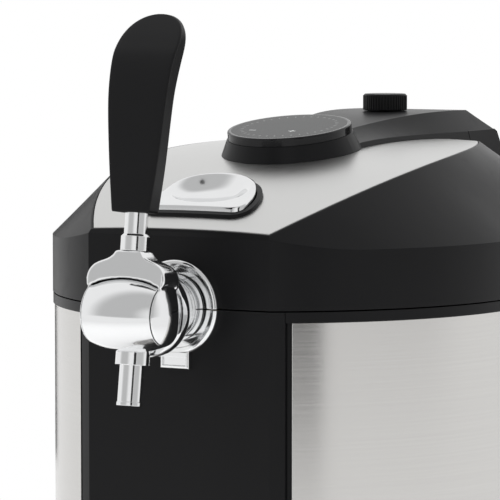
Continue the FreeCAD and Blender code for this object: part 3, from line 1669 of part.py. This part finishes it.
def tap_handle():
    """Paddle handle, in front view and side view at once, with its socket for the rod."""
    near = handle_outline(0, -2.0 * handle_face)
    far = handle_outline(2.0 * handle_side_taper, 2.0 * handle_hook)
    paddle = Part.makeLoft([near, far], True, True).common(handle_profile())
    socket = rod(rod_radius, Vector(0, 0, handle_bottom - 1),
                 Vector(0, 0, handle_bottom + handle_socket_depth))
    return lever_frame(paddle.cut(socket))


def screw(head, direction):
    """Pan-head screw with its head at a point and its shank along a direction."""
    shank = rod(screw_radius, head, head + direction * screw_length)
    cap = rod(screw_head_radius, head - direction * screw_head_height, head)
    drive = rod(screw_radius / 2, head - direction * (screw_head_height + 1),
                head - direction * screw_head_height / 2)
    return fuse([shank, cap.cut(drive)])


def cover_screws():
    """Screw places at the corners of the rear cover."""
    x = cover_half_width - 7
    levels = (base_top + 12, seam_height - cover_top_drop - 12)
    return [Vector(side * x, cover_depth, level) for side in (-1, 1) for level in levels]


def frame_screws():
    """Screws that hold the rear cover."""
    return Part.makeCompound([screw(place, Vector(0, -1, 0)) for place in cover_screws()])


def rear_cover_with_holes():
    """Rear cover with its ears for the rocker and its screw holes."""
    cover = fuse([rear_cover()] + switch_bracket())
    axis = switch_axis()
    for place in cover_screws():
        cover = cover.cut(rod(screw_radius, place, place - Vector(0, screw_length, 0)))
    pivot = rod(1.5 + pivot_gap, axis - X_AXIS * 12, axis + X_AXIS * 12)
    return cover.cut(pivot)


def rocker_with_pivots():
    """Rocker with a stub pivot on each side."""
    axis = switch_axis()
    reach = switch_half_width + switch_gap + 1.5
    return fuse([rocker_switch(), rod(1.5, axis - X_AXIS * reach, axis + X_AXIS * reach)])


def all_nodes():
    """Every piece of the machine by name."""
    return {
        "base_plinth": base_plinth,
        "tray_tongue": tray_tongue,
        "rubber_feet": rubber_feet,
        "drip_tray": drip_tray,
        "drip_grid": drip_grid,
        "front_panel": front_panel,
        "body_frame": body_frame,
        "steel_panel_left": lambda: steel_panel(-1),
        "steel_panel_right": lambda: steel_panel(1),
        "rear_cover": rear_cover_with_holes,
        "rear_cover_screws": frame_screws,
        "power_inlet": power_inlet,
        "inlet_pins": inlet_pins,
        "rocker_switch": rocker_with_pivots,
        "cooling_well": cooling_well,
        "foam_jacket": foam_jacket,
        "cold_plate": cold_plate,
        "peltier_module": peltier_module,
        "heat_sink": heat_sink,
        "fan_frame": fan_frame,
        "fan_rotor": fan_rotor,
        "power_board": power_board,
        "hinge_lower_leaf": hinge_lower_leaf,
        "hinge_upper_leaf": hinge_upper_leaf,
        "hinge_pin": hinge_pin,
        "lid_shell": lid_shell,
        "top_plate": top_plate,
        "lid_liner": lid_liner,
        "lid_foam": lid_foam,
        "lid_seal": lid_seal,
        "console": console,
        "display_rim": display_rim,
        "display_glass": display_glass,
        "control_board": control_board,
        "pressure_knob": pressure_knob,
        "regulator_body": regulator_body,
        "co2_cartridge": co2_cartridge,
        "cartridge_holder": cartridge_holder,
        "gas_nozzle": gas_nozzle,
        "gas_line": gas_line,
        "latch_base": latch_base,
        "latch_button": latch_button,
        "latch_hooks": latch_hooks,
        "latch_spring": latch_spring,
        "latch_striker": latch_striker,
        "flange_upper": flange_upper,
        "flange_lower": flange_lower,
        "tap_shank": tap_shank,
        "tap_barrel": tap_barrel,
        "spout": spout,
        "shank_nut": shank_nut,
        "beer_line": beer_line,
        "keg_coupler": keg_coupler,
        "lever_yoke": lever_yoke,
        "pivot_pin": pivot_pin,
        "lever_rod": lever_rod,
        "tap_handle": tap_handle,
    }


def main():
    """Makes every piece, moves it to the frame of the machine and writes it."""
    rear = hinge_depth + knuckle_radius
    shift = Vector(0, (tray_reach - rear) / 2, 0)
    for name, make in all_nodes().items():
        shape = make()
        shape.translate(shift)
        solids = len(shape.Solids)
        print(name, "solids", solids, "valid", shape.isValid(), "volume", round(shape.Volume))
        shape.exportStep("parts/" + name + ".step")


main()
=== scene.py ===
# %% [markdown]
# # A counter-top beer dispenser
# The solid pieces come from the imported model. This notebook gives every piece a finish,
# adds the small details that only matter to the eye, and sets up the studio.

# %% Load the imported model
import json
import math

import bpy
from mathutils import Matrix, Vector


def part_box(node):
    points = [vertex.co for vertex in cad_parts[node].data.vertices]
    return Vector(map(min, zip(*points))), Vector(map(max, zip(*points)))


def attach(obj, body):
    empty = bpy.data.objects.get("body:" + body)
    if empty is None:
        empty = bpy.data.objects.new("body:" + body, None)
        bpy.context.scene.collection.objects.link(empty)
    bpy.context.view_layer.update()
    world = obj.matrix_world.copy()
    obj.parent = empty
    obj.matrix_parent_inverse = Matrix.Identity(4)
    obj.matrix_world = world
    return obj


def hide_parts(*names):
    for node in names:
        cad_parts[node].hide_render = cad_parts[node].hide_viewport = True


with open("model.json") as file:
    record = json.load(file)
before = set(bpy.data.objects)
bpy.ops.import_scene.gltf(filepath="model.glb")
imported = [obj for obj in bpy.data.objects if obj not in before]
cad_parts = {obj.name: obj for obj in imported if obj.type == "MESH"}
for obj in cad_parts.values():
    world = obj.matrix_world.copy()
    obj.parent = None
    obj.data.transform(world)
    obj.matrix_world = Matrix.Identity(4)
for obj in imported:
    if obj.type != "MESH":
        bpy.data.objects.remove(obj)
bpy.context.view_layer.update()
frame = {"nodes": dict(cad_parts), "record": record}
nodes = frame["nodes"]
print("loaded", len(nodes), "pieces")

# %% [markdown]
# ## A small language for shaders
# `Value` wraps one socket, so that shader maths reads like plain arithmetic.
# `Graph` owns the nodes of one material and makes any other kind of node.

# %% Shader language
class Value:
    """One output socket, with arithmetic on it."""

    def __init__(self, graph, socket):
        self.graph = graph
        self.socket = socket

    def _is_wide(self, other):
        wide = ("VECTOR", "RGBA")
        if isinstance(other, Value):
            return self.socket.type in wide or other.socket.type in wide
        return self.socket.type in wide or isinstance(other, (tuple, list))

    def _combine(self, operation, other, flipped=False):
        first, second = (other, self) if flipped else (self, other)
        if self._is_wide(other):
            return self.graph.vector(operation, first, second)
        return self.graph.math(operation, first, second)

    def __add__(self, other):
        return self._combine("ADD", other)

    def __radd__(self, other):
        return self._combine("ADD", other, True)

    def __sub__(self, other):
        return self._combine("SUBTRACT", other)

    def __rsub__(self, other):
        return self._combine("SUBTRACT", other, True)

    def __mul__(self, other):
        return self._combine("MULTIPLY", other)

    def __rmul__(self, other):
        return self._combine("MULTIPLY", other, True)

    def __truediv__(self, other):
        return self._combine("DIVIDE", other)

    def __rtruediv__(self, other):
        return self._combine("DIVIDE", other, True)


class Graph:
    """The node tree of one material, or of the world."""

    def __init__(self, tree):
        self.tree = tree
        self.tree.nodes.clear()

    def feed(self, socket, value):
        if isinstance(value, Value):
            self.tree.links.new(value.socket, socket)
        elif socket.type == "RGBA" and isinstance(value, (tuple, list)) and len(value) == 3:
            socket.default_value = (*value, 1.0)
        elif socket.type in ("VECTOR", "RGBA") and isinstance(value, (int, float)):
            socket.default_value = [value] * len(socket.default_value)
        else:
            socket.default_value = value

    def make(self, kind, settings=None, inputs=None, output=0):
        node = self.tree.nodes.new(kind)
        for name, value in (settings or {}).items():
            setattr(node, name, value)
        for name, value in (inputs or {}).items():
            self.feed(node.inputs[name], value)
        return Value(self, node.outputs[output]) if node.outputs else node

    def math(self, operation, first, second=0.0):
        return self.make("ShaderNodeMath", {"operation": operation}, {0: first, 1: second})

    def vector(self, operation, first, second=(0.0, 0.0, 0.0)):
        return self.make("ShaderNodeVectorMath", {"operation": operation}, {0: first, 1: second})

    def blend(self, amount, first, second):
        settings = {"data_type": "RGBA", "blend_type": "MIX"}
        return self.make("ShaderNodeMix", settings, {0: amount, 6: first, 7: second}, 2)

    def ramp(self, value, low, high, to_low=0.0, to_high=1.0):
        inputs = {0: value, 1: low, 2: high, 3: to_low, 4: to_high}
        return self.make("ShaderNodeMapRange", {"interpolation_type": "SMOOTHSTEP"}, inputs)

    def place(self):
        return self.make("ShaderNodeTexCoord", output=3)

    def noise(self, place, scale, detail=3.0, roughness=0.5):
        inputs = {"Vector": place, "Scale": scale, "Detail": detail, "Roughness": roughness}
        return self.make("ShaderNodeTexNoise", {"noise_dimensions": "3D"}, inputs)

    def axis(self, place, index):
        return self.make("ShaderNodeSeparateXYZ", inputs={0: place}, output=index)


def new_graph(name):
    """A fresh material and its graph."""
    material = bpy.data.materials.new(name)
    material.use_nodes = True
    return material, Graph(material.node_tree)


def surface(graph, settings, bump, bump_distance=0.0002, bump_strength=0.5, edge=0.0005):
    """Ends a graph in a Principled shader; heights become a bump over slightly rounded edges."""
    inputs = dict(settings)
    rounded = graph.make("ShaderNodeBevel", {"samples": 6}, {"Radius": edge})
    inputs["Normal"] = graph.make("ShaderNodeBump", inputs={
        "Height": bump, "Strength": bump_strength, "Distance": bump_distance, "Normal": rounded})
    shader = graph.make("ShaderNodeBsdfPrincipled", inputs=inputs)
    graph.make("ShaderNodeOutputMaterial", inputs={"Surface": shader})


def scaled(colour, factor, lift=0.0):
    """A colour made brighter or darker."""
    return [channel * factor + lift for channel in colour]


print("shader language ready")

# %% [markdown]
# ## Plastics and rubber
# Moulded plastic shows a very fine grain, faint flow marks and a little polish where hands go.
# All of it is built from noise in the frame of the machine, in metres.

# %% Plastics and rubber
def grained_plastic(name, colour, roughness, grain=0.35, flow=0.10, gloss=0.14):
    """Moulded plastic with a fine grain."""
    material, graph = new_graph(name)
    place = graph.place()
    fine = graph.noise(place, 1600.0, 2.0)
    cloud = graph.noise(place, 22.0, 4.0)
    wear = graph.ramp(graph.noise(place, 70.0, 5.0, 0.6), 0.55, 0.75)
    tone = graph.blend(cloud, scaled(colour, 1.0 - flow), scaled(colour, 1.0 + flow))
    shine = roughness + (cloud - 0.5) * 0.10 + wear * 0.04
    surface(graph, {"Base Color": tone, "Roughness": shine, "IOR": 1.48, "Specular IOR Level": gloss},
            bump=fine + cloud * 0.4, bump_distance=0.00006, bump_strength=grain)
    return material


def smooth_plastic(name, colour, roughness, gloss=0.4):
    """Polished plastic with faint smears."""
    material, graph = new_graph(name)
    place = graph.place()
    smear = graph.noise(place * (1.0, 2.5, 1.0), 40.0, 4.0, 0.6)
    dust = graph.ramp(graph.noise(place, 900.0, 2.0), 0.66, 0.72)
    tone = graph.blend(dust * 0.3, colour, scaled(colour, 1.5, 0.01))
    surface(graph, {"Base Color": tone, "Roughness": roughness + smear * 0.08, "IOR": 1.5,
                    "Specular IOR Level": gloss},
            bump=smear, bump_distance=0.00004, bump_strength=0.2)
    return material


finishes = {
    "satin_black": grained_plastic("satin_black", (0.006, 0.006, 0.0065), 0.36),
    "handle_black": grained_plastic("handle_black", (0.006, 0.006, 0.0065), 0.42, 0.25),
    "gloss_black": smooth_plastic("gloss_black", (0.006, 0.006, 0.0065), 0.10, 0.25),
    "rubber": grained_plastic("rubber", (0.016, 0.016, 0.016), 0.75, 0.5),
    "grey_liner": grained_plastic("grey_liner", (0.26, 0.26, 0.27), 0.45, gloss=0.4),
    "clear_hose": smooth_plastic("clear_hose", (0.62, 0.65, 0.66), 0.18),
}
print("plastics", sorted(finishes))

# %% [markdown]
# ## Metals
# The side panels are brushed along the length of the machine, so their noise is stretched
# in the level directions. The lid plate has a much finer satin, and the tap is mirror chrome.

# %% Metals
def brushed_metal(name, colour, roughness, stretch, streak, anisotropy=0.0, edge=0.0005):
    """Metal with fine streaks; `stretch` scales the noise along each axis."""
    material, graph = new_graph(name)
    place = graph.place()
    fine = graph.noise(place * stretch, 1.0, 3.0, 0.7)
    broad = graph.noise(place * scaled(stretch, 0.22), 1.0, 3.0)
    cloud = graph.noise(place, 9.0, 3.0)
    lines = fine * 0.6 + broad * 0.4
    tone = graph.blend(lines, scaled(colour, 1.0 - streak), scaled(colour, 1.0 + streak * 0.6))
    shine = roughness + (lines - 0.5) * 0.16 + (cloud - 0.5) * 0.05
    surface(graph, {"Base Color": tone, "Metallic": 1.0, "Roughness": shine, "Anisotropic": anisotropy},
            bump=lines, bump_distance=0.00003, bump_strength=0.35, edge=edge)
    return material


def polished_metal(name, colour, roughness, smear=0.03):
    """Turned or polished metal with faint smears and hairlines."""
    material, graph = new_graph(name)
    place = graph.place()
    cloud = graph.noise(place, 60.0, 4.0, 0.6)
    hair = graph.noise(place * (1.0, 1.0, 6.0), 300.0, 3.0)
    tone = graph.blend(cloud, scaled(colour, 0.97), colour)
    shine = roughness + cloud * smear + hair * smear * 0.5
    surface(graph, {"Base Color": tone, "Metallic": 1.0, "Roughness": shine},
            bump=hair, bump_distance=0.00001, bump_strength=0.15)
    return material


level_streaks = (9.0, 9.0, 3800.0)
satin_streaks = (1600.0, 60.0, 1600.0)
finishes.update({
    "brushed_steel": brushed_metal("brushed_steel", (0.62, 0.61, 0.595), 0.20, level_streaks, 0.10),
    "silver_plate": brushed_metal("silver_plate", (0.62, 0.62, 0.612), 0.33, satin_streaks, 0.04,
                                  0.2, 0.0012),
    "chrome": polished_metal("chrome", (0.80, 0.805, 0.81), 0.07),
    "plain_steel": polished_metal("plain_steel", (0.55, 0.55, 0.54), 0.28, 0.08),
    "aluminium": polished_metal("aluminium", (0.72, 0.72, 0.73), 0.32, 0.10),
    "brass": polished_metal("brass", (0.72, 0.55, 0.26), 0.25, 0.08),
})
print("metals added, finishes:", len(finishes))

# %% [markdown]
# ## Foam, boards and glass
# The pieces inside the machine get plain but finished materials too.
# The display is dark glass with pale touch marks drawn from distances on its face.

# %% Foam, boards and glass
def foam(name, colour):
    """Closed-cell foam with visible cells."""
    material, graph = new_graph(name)
    place = graph.place()
    cells = graph.make("ShaderNodeTexVoronoi", {"feature": "F1"}, {"Vector": place, "Scale": 520.0})
    cloud = graph.noise(place, 30.0, 4.0)
    tone = graph.blend(cloud, scaled(colour, 0.92), colour)
    surface(graph, {"Base Color": tone, "Roughness": 0.8 + cells * 0.1, "IOR": 1.4},
            bump=cells, bump_distance=0.0002, bump_strength=0.4)
    return material


def circuit_board(name, colour):
    """Lacquered circuit board with faint copper tracks."""
    material, graph = new_graph(name)
    place = graph.place()
    weave = graph.noise(place, 700.0, 2.0)
    black, white = (0.0, 0.0, 0.0), (1.0, 1.0, 1.0)
    tracks = graph.make("ShaderNodeTexBrick", inputs={
        "Vector": place, "Scale": 160.0, "Mortar Size": 0.012,
        "Color1": black, "Color2": black, "Mortar": white})
    tone = graph.blend(tracks * 0.5, colour, scaled(colour, 1.8, 0.02))
    surface(graph, {"Base Color": tone, "Roughness": 0.3 + weave * 0.12, "Coat Weight": 0.3},
            bump=weave, bump_distance=0.00005, bump_strength=0.3)
    return material


def display_glass(name, centre_depth):
    """Dark touch glass with a plain plus, a plain minus and a ring of strokes under its face."""
    material, graph = new_graph(name)
    place = graph.place()
    across = graph.axis(place, 0)
    along = graph.axis(place, 1) - centre_depth
    smear = graph.noise(place * (1.0, 2.5, 1.0), 40.0, 4.0, 0.6)

    def bar(centre, half_width, half_depth, soft=0.0001):
        """One inside an upright or level bar, in metres from the middle of the glass."""
        aside = graph.math("ABSOLUTE", across - centre[0])
        ahead = graph.math("ABSOLUTE", along - centre[1])
        inside_width = graph.ramp(aside, half_width + soft, half_width - soft)
        inside_depth = graph.ramp(ahead, half_depth + soft, half_depth - soft)
        return inside_width * inside_depth

    plus, minus = (0.0083, -0.0126), (-0.0174, -0.0126)
    reach, thin = 0.0022, 0.0005
    marks = bar(plus, reach, thin) + bar(plus, thin, reach) + bar(minus, reach, thin)
    far = graph.math("SQRT", across * across + along * along)
    angle = graph.math("ARCTAN2", along, across)
    stroke_count, stroke_radius = 36.0, 0.0275
    stroke = graph.ramp(graph.math("COSINE", angle * stroke_count), 0.80, 0.95)
    ring = graph.ramp(graph.math("ABSOLUTE", far - stroke_radius), 0.0011, 0.0008)
    pale = graph.math("MINIMUM", marks + stroke * ring * 0.35, 1.0)
    tone = graph.blend(pale, (0.018, 0.019, 0.019), (0.42, 0.43, 0.43))
    surface(graph, {"Base Color": tone, "Roughness": 0.10 + smear * 0.06, "IOR": 1.5,
                    "Specular IOR Level": 0.03},
            bump=smear, bump_distance=0.00004, bump_strength=0.15)
    return material


display_low, display_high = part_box("display_glass")
display_depth = 0.5 * (display_low[1] + display_high[1])
finishes.update({
    "white_foam": foam("white_foam", (0.74, 0.73, 0.68)),
    "green_board": circuit_board("green_board", (0.02, 0.13, 0.05)),
    "black_glass": display_glass("black_glass", display_depth),
})
print("all finishes:", sorted(finishes))

# %% [markdown]
# ## Dress every piece
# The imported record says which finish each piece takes.

# %% Dress every piece
for row in frame["record"]["subparts"]:
    piece = nodes[row["node"]]
    piece.data.materials.clear()
    piece.data.materials.append(finishes[row["material_slot"]])

# %% [markdown]
# ## Softened copies
# Cast and moulded parts have no knife edges. Some solid pieces are copied, turned into an even
# fine mesh and relaxed a little, so that every edge of the copy is really rounded.

# %% Softened copies
def use(piece, body, node, slot):
    """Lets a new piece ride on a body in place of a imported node."""
    piece.data.materials.clear()
    piece.data.materials.append(finishes[slot])
    for face in piece.data.polygons:
        face.use_smooth = True
    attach(piece, body)
    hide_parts(node)
    return piece


def softened(node, body, slot, voxel, rounds):
    """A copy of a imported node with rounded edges."""
    mesh = nodes[node].data.copy()
    piece = bpy.data.objects.new(node + "_soft", mesh)
    bpy.context.scene.collection.objects.link(piece)
    remesh = piece.modifiers.new("even", "REMESH")
    remesh.mode = "VOXEL"
    remesh.voxel_size = voxel
    relax = piece.modifiers.new("relax", "SMOOTH")
    relax.factor = 0.5
    relax.iterations = rounds
    bpy.context.view_layer.update()
    graph = bpy.context.evaluated_depsgraph_get()
    final = bpy.data.meshes.new_from_object(piece.evaluated_get(graph))
    piece.modifiers.clear()
    piece.data = final
    return use(piece, body, node, slot)


saddle = softened("lever_yoke", "lever", "chrome", 0.0005, 55)
button = softened("latch_button", "latch", "chrome", 0.0004, 14)
for piece in (saddle, button):
    print(piece.name, len(piece.data.polygons), "faces")

# %% [markdown]
# ## Ridge of the latch button
# The chrome button swells into a rolled ridge along its curved rear edge, so that a finger can
# pull on it. The ridge is raised on the softened copy.

# %% Ridge of the latch button
def step_up(value, low, high):
    """Smooth step from zero to one."""
    share = min(1.0, max(0.0, (value - low) / (high - low)))
    return share * share * (3.0 - 2.0 * share)


button_low, button_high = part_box("latch_button")
button_half = button_high[0]
bend_depth, ridge_height = 0.021, 0.0034
ridge_line, ridge_width = 0.76, 0.17
bend_start = button_high[1] - bend_depth
for vertex in button.data.vertices:
    x, y = vertex.co.x, vertex.co.y
    round_share = math.hypot(x / button_half, max(0.0, y - bend_start) / (button_high[1] - bend_start))
    ridge = math.exp(-((round_share - ridge_line) / ridge_width) ** 2)
    ridge *= step_up(y, button_low[1] + 0.008, button_low[1] + 0.028)
    top_share = step_up(vertex.co.z, button_high[2] - 0.024, button_high[2] - 0.012)
    vertex.co.z += ridge_height * ridge * top_share
print("ridge raised on", button.name)

# %% [markdown]
# ## The handle
# The paddle is lofted through rounded sections. It leans with the tap, hooks back towards its top
# and closes in a round crown. Its tables hold pairs of a level and a measure, in millimetres from
# the tap's cross axis, which is where the pivot pin lies.

# %% Handle
def smooth_curve(table, t):
    """Value at t of a smooth curve through pairs in a table."""
    rows = sorted(table)
    if t <= rows[0][0]:
        return rows[0][1]
    if t >= rows[-1][0]:
        return rows[-1][1]
    slopes = []
    for i in range(len(rows)):
        before, after = rows[max(i - 1, 0)], rows[min(i + 1, len(rows) - 1)]
        slopes.append((after[1] - before[1]) / (after[0] - before[0]))
    for i in range(len(rows) - 1):
        (a, va), (b, vb) = rows[i], rows[i + 1]
        if t <= b:
            s = (t - a) / (b - a)
            start = (2 * s ** 3 - 3 * s ** 2 + 1) * va + (s ** 3 - 2 * s ** 2 + s) * (b - a) * slopes[i]
            return start + (-2 * s ** 3 + 3 * s ** 2) * vb + (s ** 3 - s ** 2) * (b - a) * slopes[i + 1]


pin_low, pin_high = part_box("pivot_pin")
tap_depth = round(0.5 * (pin_low[1] + pin_high[1]), 5)
tap_height = round(0.5 * (pin_low[2] + pin_high[2]), 5)
lean = math.radians(7.4)
print("tap axis", tap_depth, tap_height)


def leaning(x, y, z):
    """Place of a point given in millimetres from the tap axis along the leaning lever."""
    return Vector((x * 0.001, tap_depth + 0.001 * (y * math.cos(lean) + z * math.sin(lean)),
                   tap_height + 0.001 * (-y * math.sin(lean) + z * math.cos(lean))))


def rounded_section(near_half, far_half, near, far, near_round, far_round):
    """Closed outline of one section: a trapezoid with rounded corners and straight sides."""
    corners = [(near_half, near, near_round), (far_half, far, far_round),
               (-far_half, far, far_round), (-near_half, near, near_round)]
    points = []
    for i, (x, y, size) in enumerate(corners):
        before, after = corners[i - 1], corners[(i + 1) % 4]
        room = 0.45 * min(near_half, abs(far - near), far_half)
        size = min(size, room)
        towards_before = Vector((before[0] - x, before[1] - y)).normalized() * size
        towards_after = Vector((after[0] - x, after[1] - y)).normalized() * size
        for step in range(7):
            t = step / 6.0
            place = towards_before * (1 - t) ** 2 + towards_after * t ** 2
            points.append((x + place.x, y + place.y))
        for step in range(1, 8):
            t = step / 8.0
            first = Vector((x, y)) + towards_after
            side = Vector((after[0] - x, after[1] - y)).normalized()
            last = Vector(after[:2]) - side * min(after[2], room)
            place = first.lerp(last, t)
            points.append((place.x, place.y))
    return points


def skin(name, sections):
    """A closed mesh through sections with equal numbers of points."""
    count = len(sections[0])
    corners = [point for section in sections for point in section]
    faces = []
    for row in range(len(sections) - 1):
        for i in range(count):
            j = (i + 1) % count
            low, high = row * count, (row + 1) * count
            faces.append((low + i, low + j, high + j, high + i))
    faces.append(tuple(reversed(range(count))))
    faces.append(tuple((len(sections) - 1) * count + i for i in range(count)))
    mesh = bpy.data.meshes.new(name)
    mesh.from_pydata(corners, [], faces)
    mesh.update()
    piece = bpy.data.objects.new(name, mesh)
    bpy.context.scene.collection.objects.link(piece)
    return piece


def paddle_sections():
    """Rounded sections of the paddle from its foot to its crown, dense near the crown."""
    low, top, crown, wide = 54.5, 163.0, 22.0, 19.5
    narrowing, thickness = 0.16, 15.7
    front_round, rear_round = 1.5, 3.5
    widths = [(54.5, 11.7), (83.0, 15.3), (111.6, 17.9), (141.0, 19.5)]
    face = [(54.5, -8.1), (87.0, -8.3), (114.0, -8.4), (128.3, -6.9), (139.0, -4.0), (147.8, 1.2),
            (155.4, 6.4), (163.0, 12.0)]
    back = [(54.5, 7.6), (76.0, 7.4), (103.0, 6.3), (119.6, 6.9), (139.0, 11.4), (154.3, 14.4),
            (163.0, 14.8)]
    sections = []
    steps = 70
    for step in range(steps + 1):
        share = math.sin(0.5 * math.pi * step / steps) ** 1.2
        z = low + (top - 0.05 - low) * share
        half = smooth_curve(widths, z)
        if z > top - crown:
            half = wide * (1.0 - ((z - top + crown) / crown) ** 2.5) ** 0.45
        near, far = smooth_curve(face, z), smooth_curve(back, z)
        ease = min(1.0, (z - low) / 1.2 + 0.35)
        half_far = half * (1.0 - narrowing * (far - near) / thickness)
        shrink = 1.0 - 0.04 * (1.0 - ease)
        ring = rounded_section(half * shrink, half_far * shrink, near, far, front_round, rear_round)
        sections.append([leaning(x, y, z) for x, y in ring])
    return sections


handle = use(skin("handle_paddle", paddle_sections()), "lever", "tap_handle", "handle_black")
print("handle", [round(v, 4) for v in handle.dimensions])

# %% [markdown]
# ## Studio
# A pale floor, a white surround that only the camera sees at full strength, and soft boxes.

# %% Floor
def white_seen(graph):
    """One where the camera, a mirror or clear stuff looks at the background, and zero elsewhere."""
    total = 0.0
    for name in ("Is Camera Ray", "Is Glossy Ray", "Is Transmission Ray"):
        total = graph.make("ShaderNodeLightPath", output=name) + total
    return graph.math("MINIMUM", total, 1.0)


bpy.ops.mesh.primitive_plane_add(size=8.0, location=(0, 0, 0))
floor = bpy.context.object
floor.name = "floor"
floor_material, floor_graph = new_graph("floor")
floor_place = floor_graph.place()
floor_cloud = floor_graph.noise(floor_place, 3.0, 4.0)
floor_tone = floor_graph.blend(floor_cloud, (0.84, 0.84, 0.84), (0.88, 0.88, 0.88))
matte = floor_graph.make("ShaderNodeBsdfDiffuse", inputs={"Color": floor_tone})
white = floor_graph.make("ShaderNodeEmission", inputs={"Color": (1.0, 1.0, 1.0), "Strength": 1.0})
distance = floor_graph.make("ShaderNodeVectorMath", {"operation": "LENGTH"}, {0: floor_place}, 1)
fade = floor_graph.ramp(distance, 0.45, 1.1) * white_seen(floor_graph)
mixed = floor_graph.make("ShaderNodeMixShader", inputs={0: fade, 1: matte, 2: white})
floor_graph.make("ShaderNodeOutputMaterial", inputs={"Surface": mixed})
floor.data.materials.append(floor_material)
print("floor size", tuple(floor.dimensions))

# %% [markdown]
# ## Surround
# The world is a soft white sky, a little dimmer near the ground for the light that falls on the
# machine, and white wherever it is seen directly or in a mirror. The side of the room behind the
# camera is a softer grey in mirrors, with a glow in its middle, which models rounded chrome.

# %% World
world = bpy.data.worlds.new("studio")
bpy.context.scene.world = world
world.use_nodes = True
sky = Graph(world.node_tree)
rays = white_seen(sky)
direction = sky.make("ShaderNodeTexCoord", output=0)
height = sky.axis(direction, 2)
shade = sky.ramp(height, -0.2, 0.8, 0.66, 1.0)
glow = sky.blend(shade, (0.0, 0.0, 0.0), (1.0, 1.0, 1.0))
towards_camera = (0.476, -0.876, 0.077)
facing = sky.make("ShaderNodeVectorMath", {"operation": "DOT_PRODUCT"}, {0: direction, 1: towards_camera}, 1)
room_side = sky.ramp(facing, -0.1, 0.35)
soft_glow = sky.ramp(facing, 0.80, 1.0)
mirrored = sky.make("ShaderNodeLightPath", output="Is Glossy Ray")
dimmer = mirrored * room_side * (0.42 - soft_glow * 0.40)
seen_white = sky.blend(dimmer, (1.0, 1.0, 1.0), (0.0, 0.0, 0.0))
background = sky.make("ShaderNodeBackground", inputs={
    "Color": sky.blend(rays, glow, seen_white), "Strength": 1.0})
sky.make("ShaderNodeOutputWorld", inputs={"Surface": background})
print("world ready")

# %% [markdown]
# ## Dark boards
# Dark boards stand beside the line of sight, two behind the machine and one near the camera.
# Only reflections show them: they give chrome its dark outlines and steel its soft bands.

# %% Dark boards
board_material, board_graph = new_graph("dark_board")
board_cloud = board_graph.noise(board_graph.place(), 12.0, 4.0)
board_tone = board_graph.blend(board_cloud, (0.010, 0.010, 0.010), (0.022, 0.022, 0.022))
surface(board_graph, {"Base Color": board_tone, "Roughness": 0.8 + board_cloud * 0.1}, bump=board_cloud)


def dark_board(name, ahead, aside, width, low, high):
    """An upright board at a distance along and beside the line of sight, facing the machine."""
    sight, right = Vector((-0.477, 0.879, 0.0)), Vector((0.879, 0.477, 0.0))
    centre = sight * ahead + right * aside
    across = Vector((-centre.y, centre.x, 0.0)).normalized() * 0.5 * width
    corners = [centre - across, centre + across, centre + across, centre - across]
    heights = [low, low, high, high]
    mesh = bpy.data.meshes.new(name)
    mesh.from_pydata([Vector((c.x, c.y, h)) for c, h in zip(corners, heights)], [], [(0, 1, 2, 3)])
    mesh.materials.append(board_material)
    board_piece = bpy.data.objects.new(name, mesh)
    bpy.context.scene.collection.objects.link(board_piece)
    board_piece.visible_camera = False
    board_piece.visible_shadow = False
    return board_piece


for name, ahead, aside, width, low, high in (("board_right", 1.3, 0.95, 1.1, 0.02, 0.62),
                                             ("board_left", 1.3, -0.42, 0.25, 0.02, 0.62),
                                             ("board_near", -1.9, 0.52, 0.55, 0.02, 1.30)):
    dark_board(name, ahead, aside, width, low, high)
print("boards ready")

# %% [markdown]
# ## Soft boxes
# Three large, weak lamps light the machine without washing out the dark plastic; mirrors and gloss do not
# see them.

# %% Lights
def soft_box(name, place, target, width, height, power):
    """A rectangular light that faces a target."""
    light = bpy.data.lights.new(name, "AREA")
    light.shape = "RECTANGLE"
    light.size = width
    light.size_y = height
    light.energy = power
    lamp = bpy.data.objects.new(name, light)
    lamp.location = place
    lamp.visible_glossy = False
    lamp.rotation_euler = (Vector(target) - Vector(place)).to_track_quat("-Z", "Y").to_euler()
    bpy.context.scene.collection.objects.link(lamp)
    return lamp


middle = (0.0, 0.0, 0.30)
soft_box("key", (-1.5, -1.4, 1.9), middle, 1.8, 1.8, 26.0)
soft_box("fill", (2.0, -0.6, 1.0), middle, 1.2, 1.6, 8.0)
soft_box("top", (0.1, 0.5, 2.2), middle, 2.0, 1.4, 16.0)

# %% [markdown]
# ## Camera
# A long lens a little above the lid, turned to the right side of the machine.

# %% Camera
camera_data = bpy.data.cameras.new("camera")
camera_data.sensor_width = 36.0
camera_data.lens = 252.0
camera_data.clip_end = 20.0
camera = bpy.data.objects.new("camera", camera_data)
camera.location = (0.94556, -1.77182, 0.47594)
camera.rotation_euler = (math.radians(90.0 - 4.40), 0.0, math.radians(28.51))
bpy.context.scene.collection.objects.link(camera)
bpy.context.scene.camera = camera
bpy.context.scene.view_settings.view_transform = "Standard"
print("camera at", tuple(camera.location))
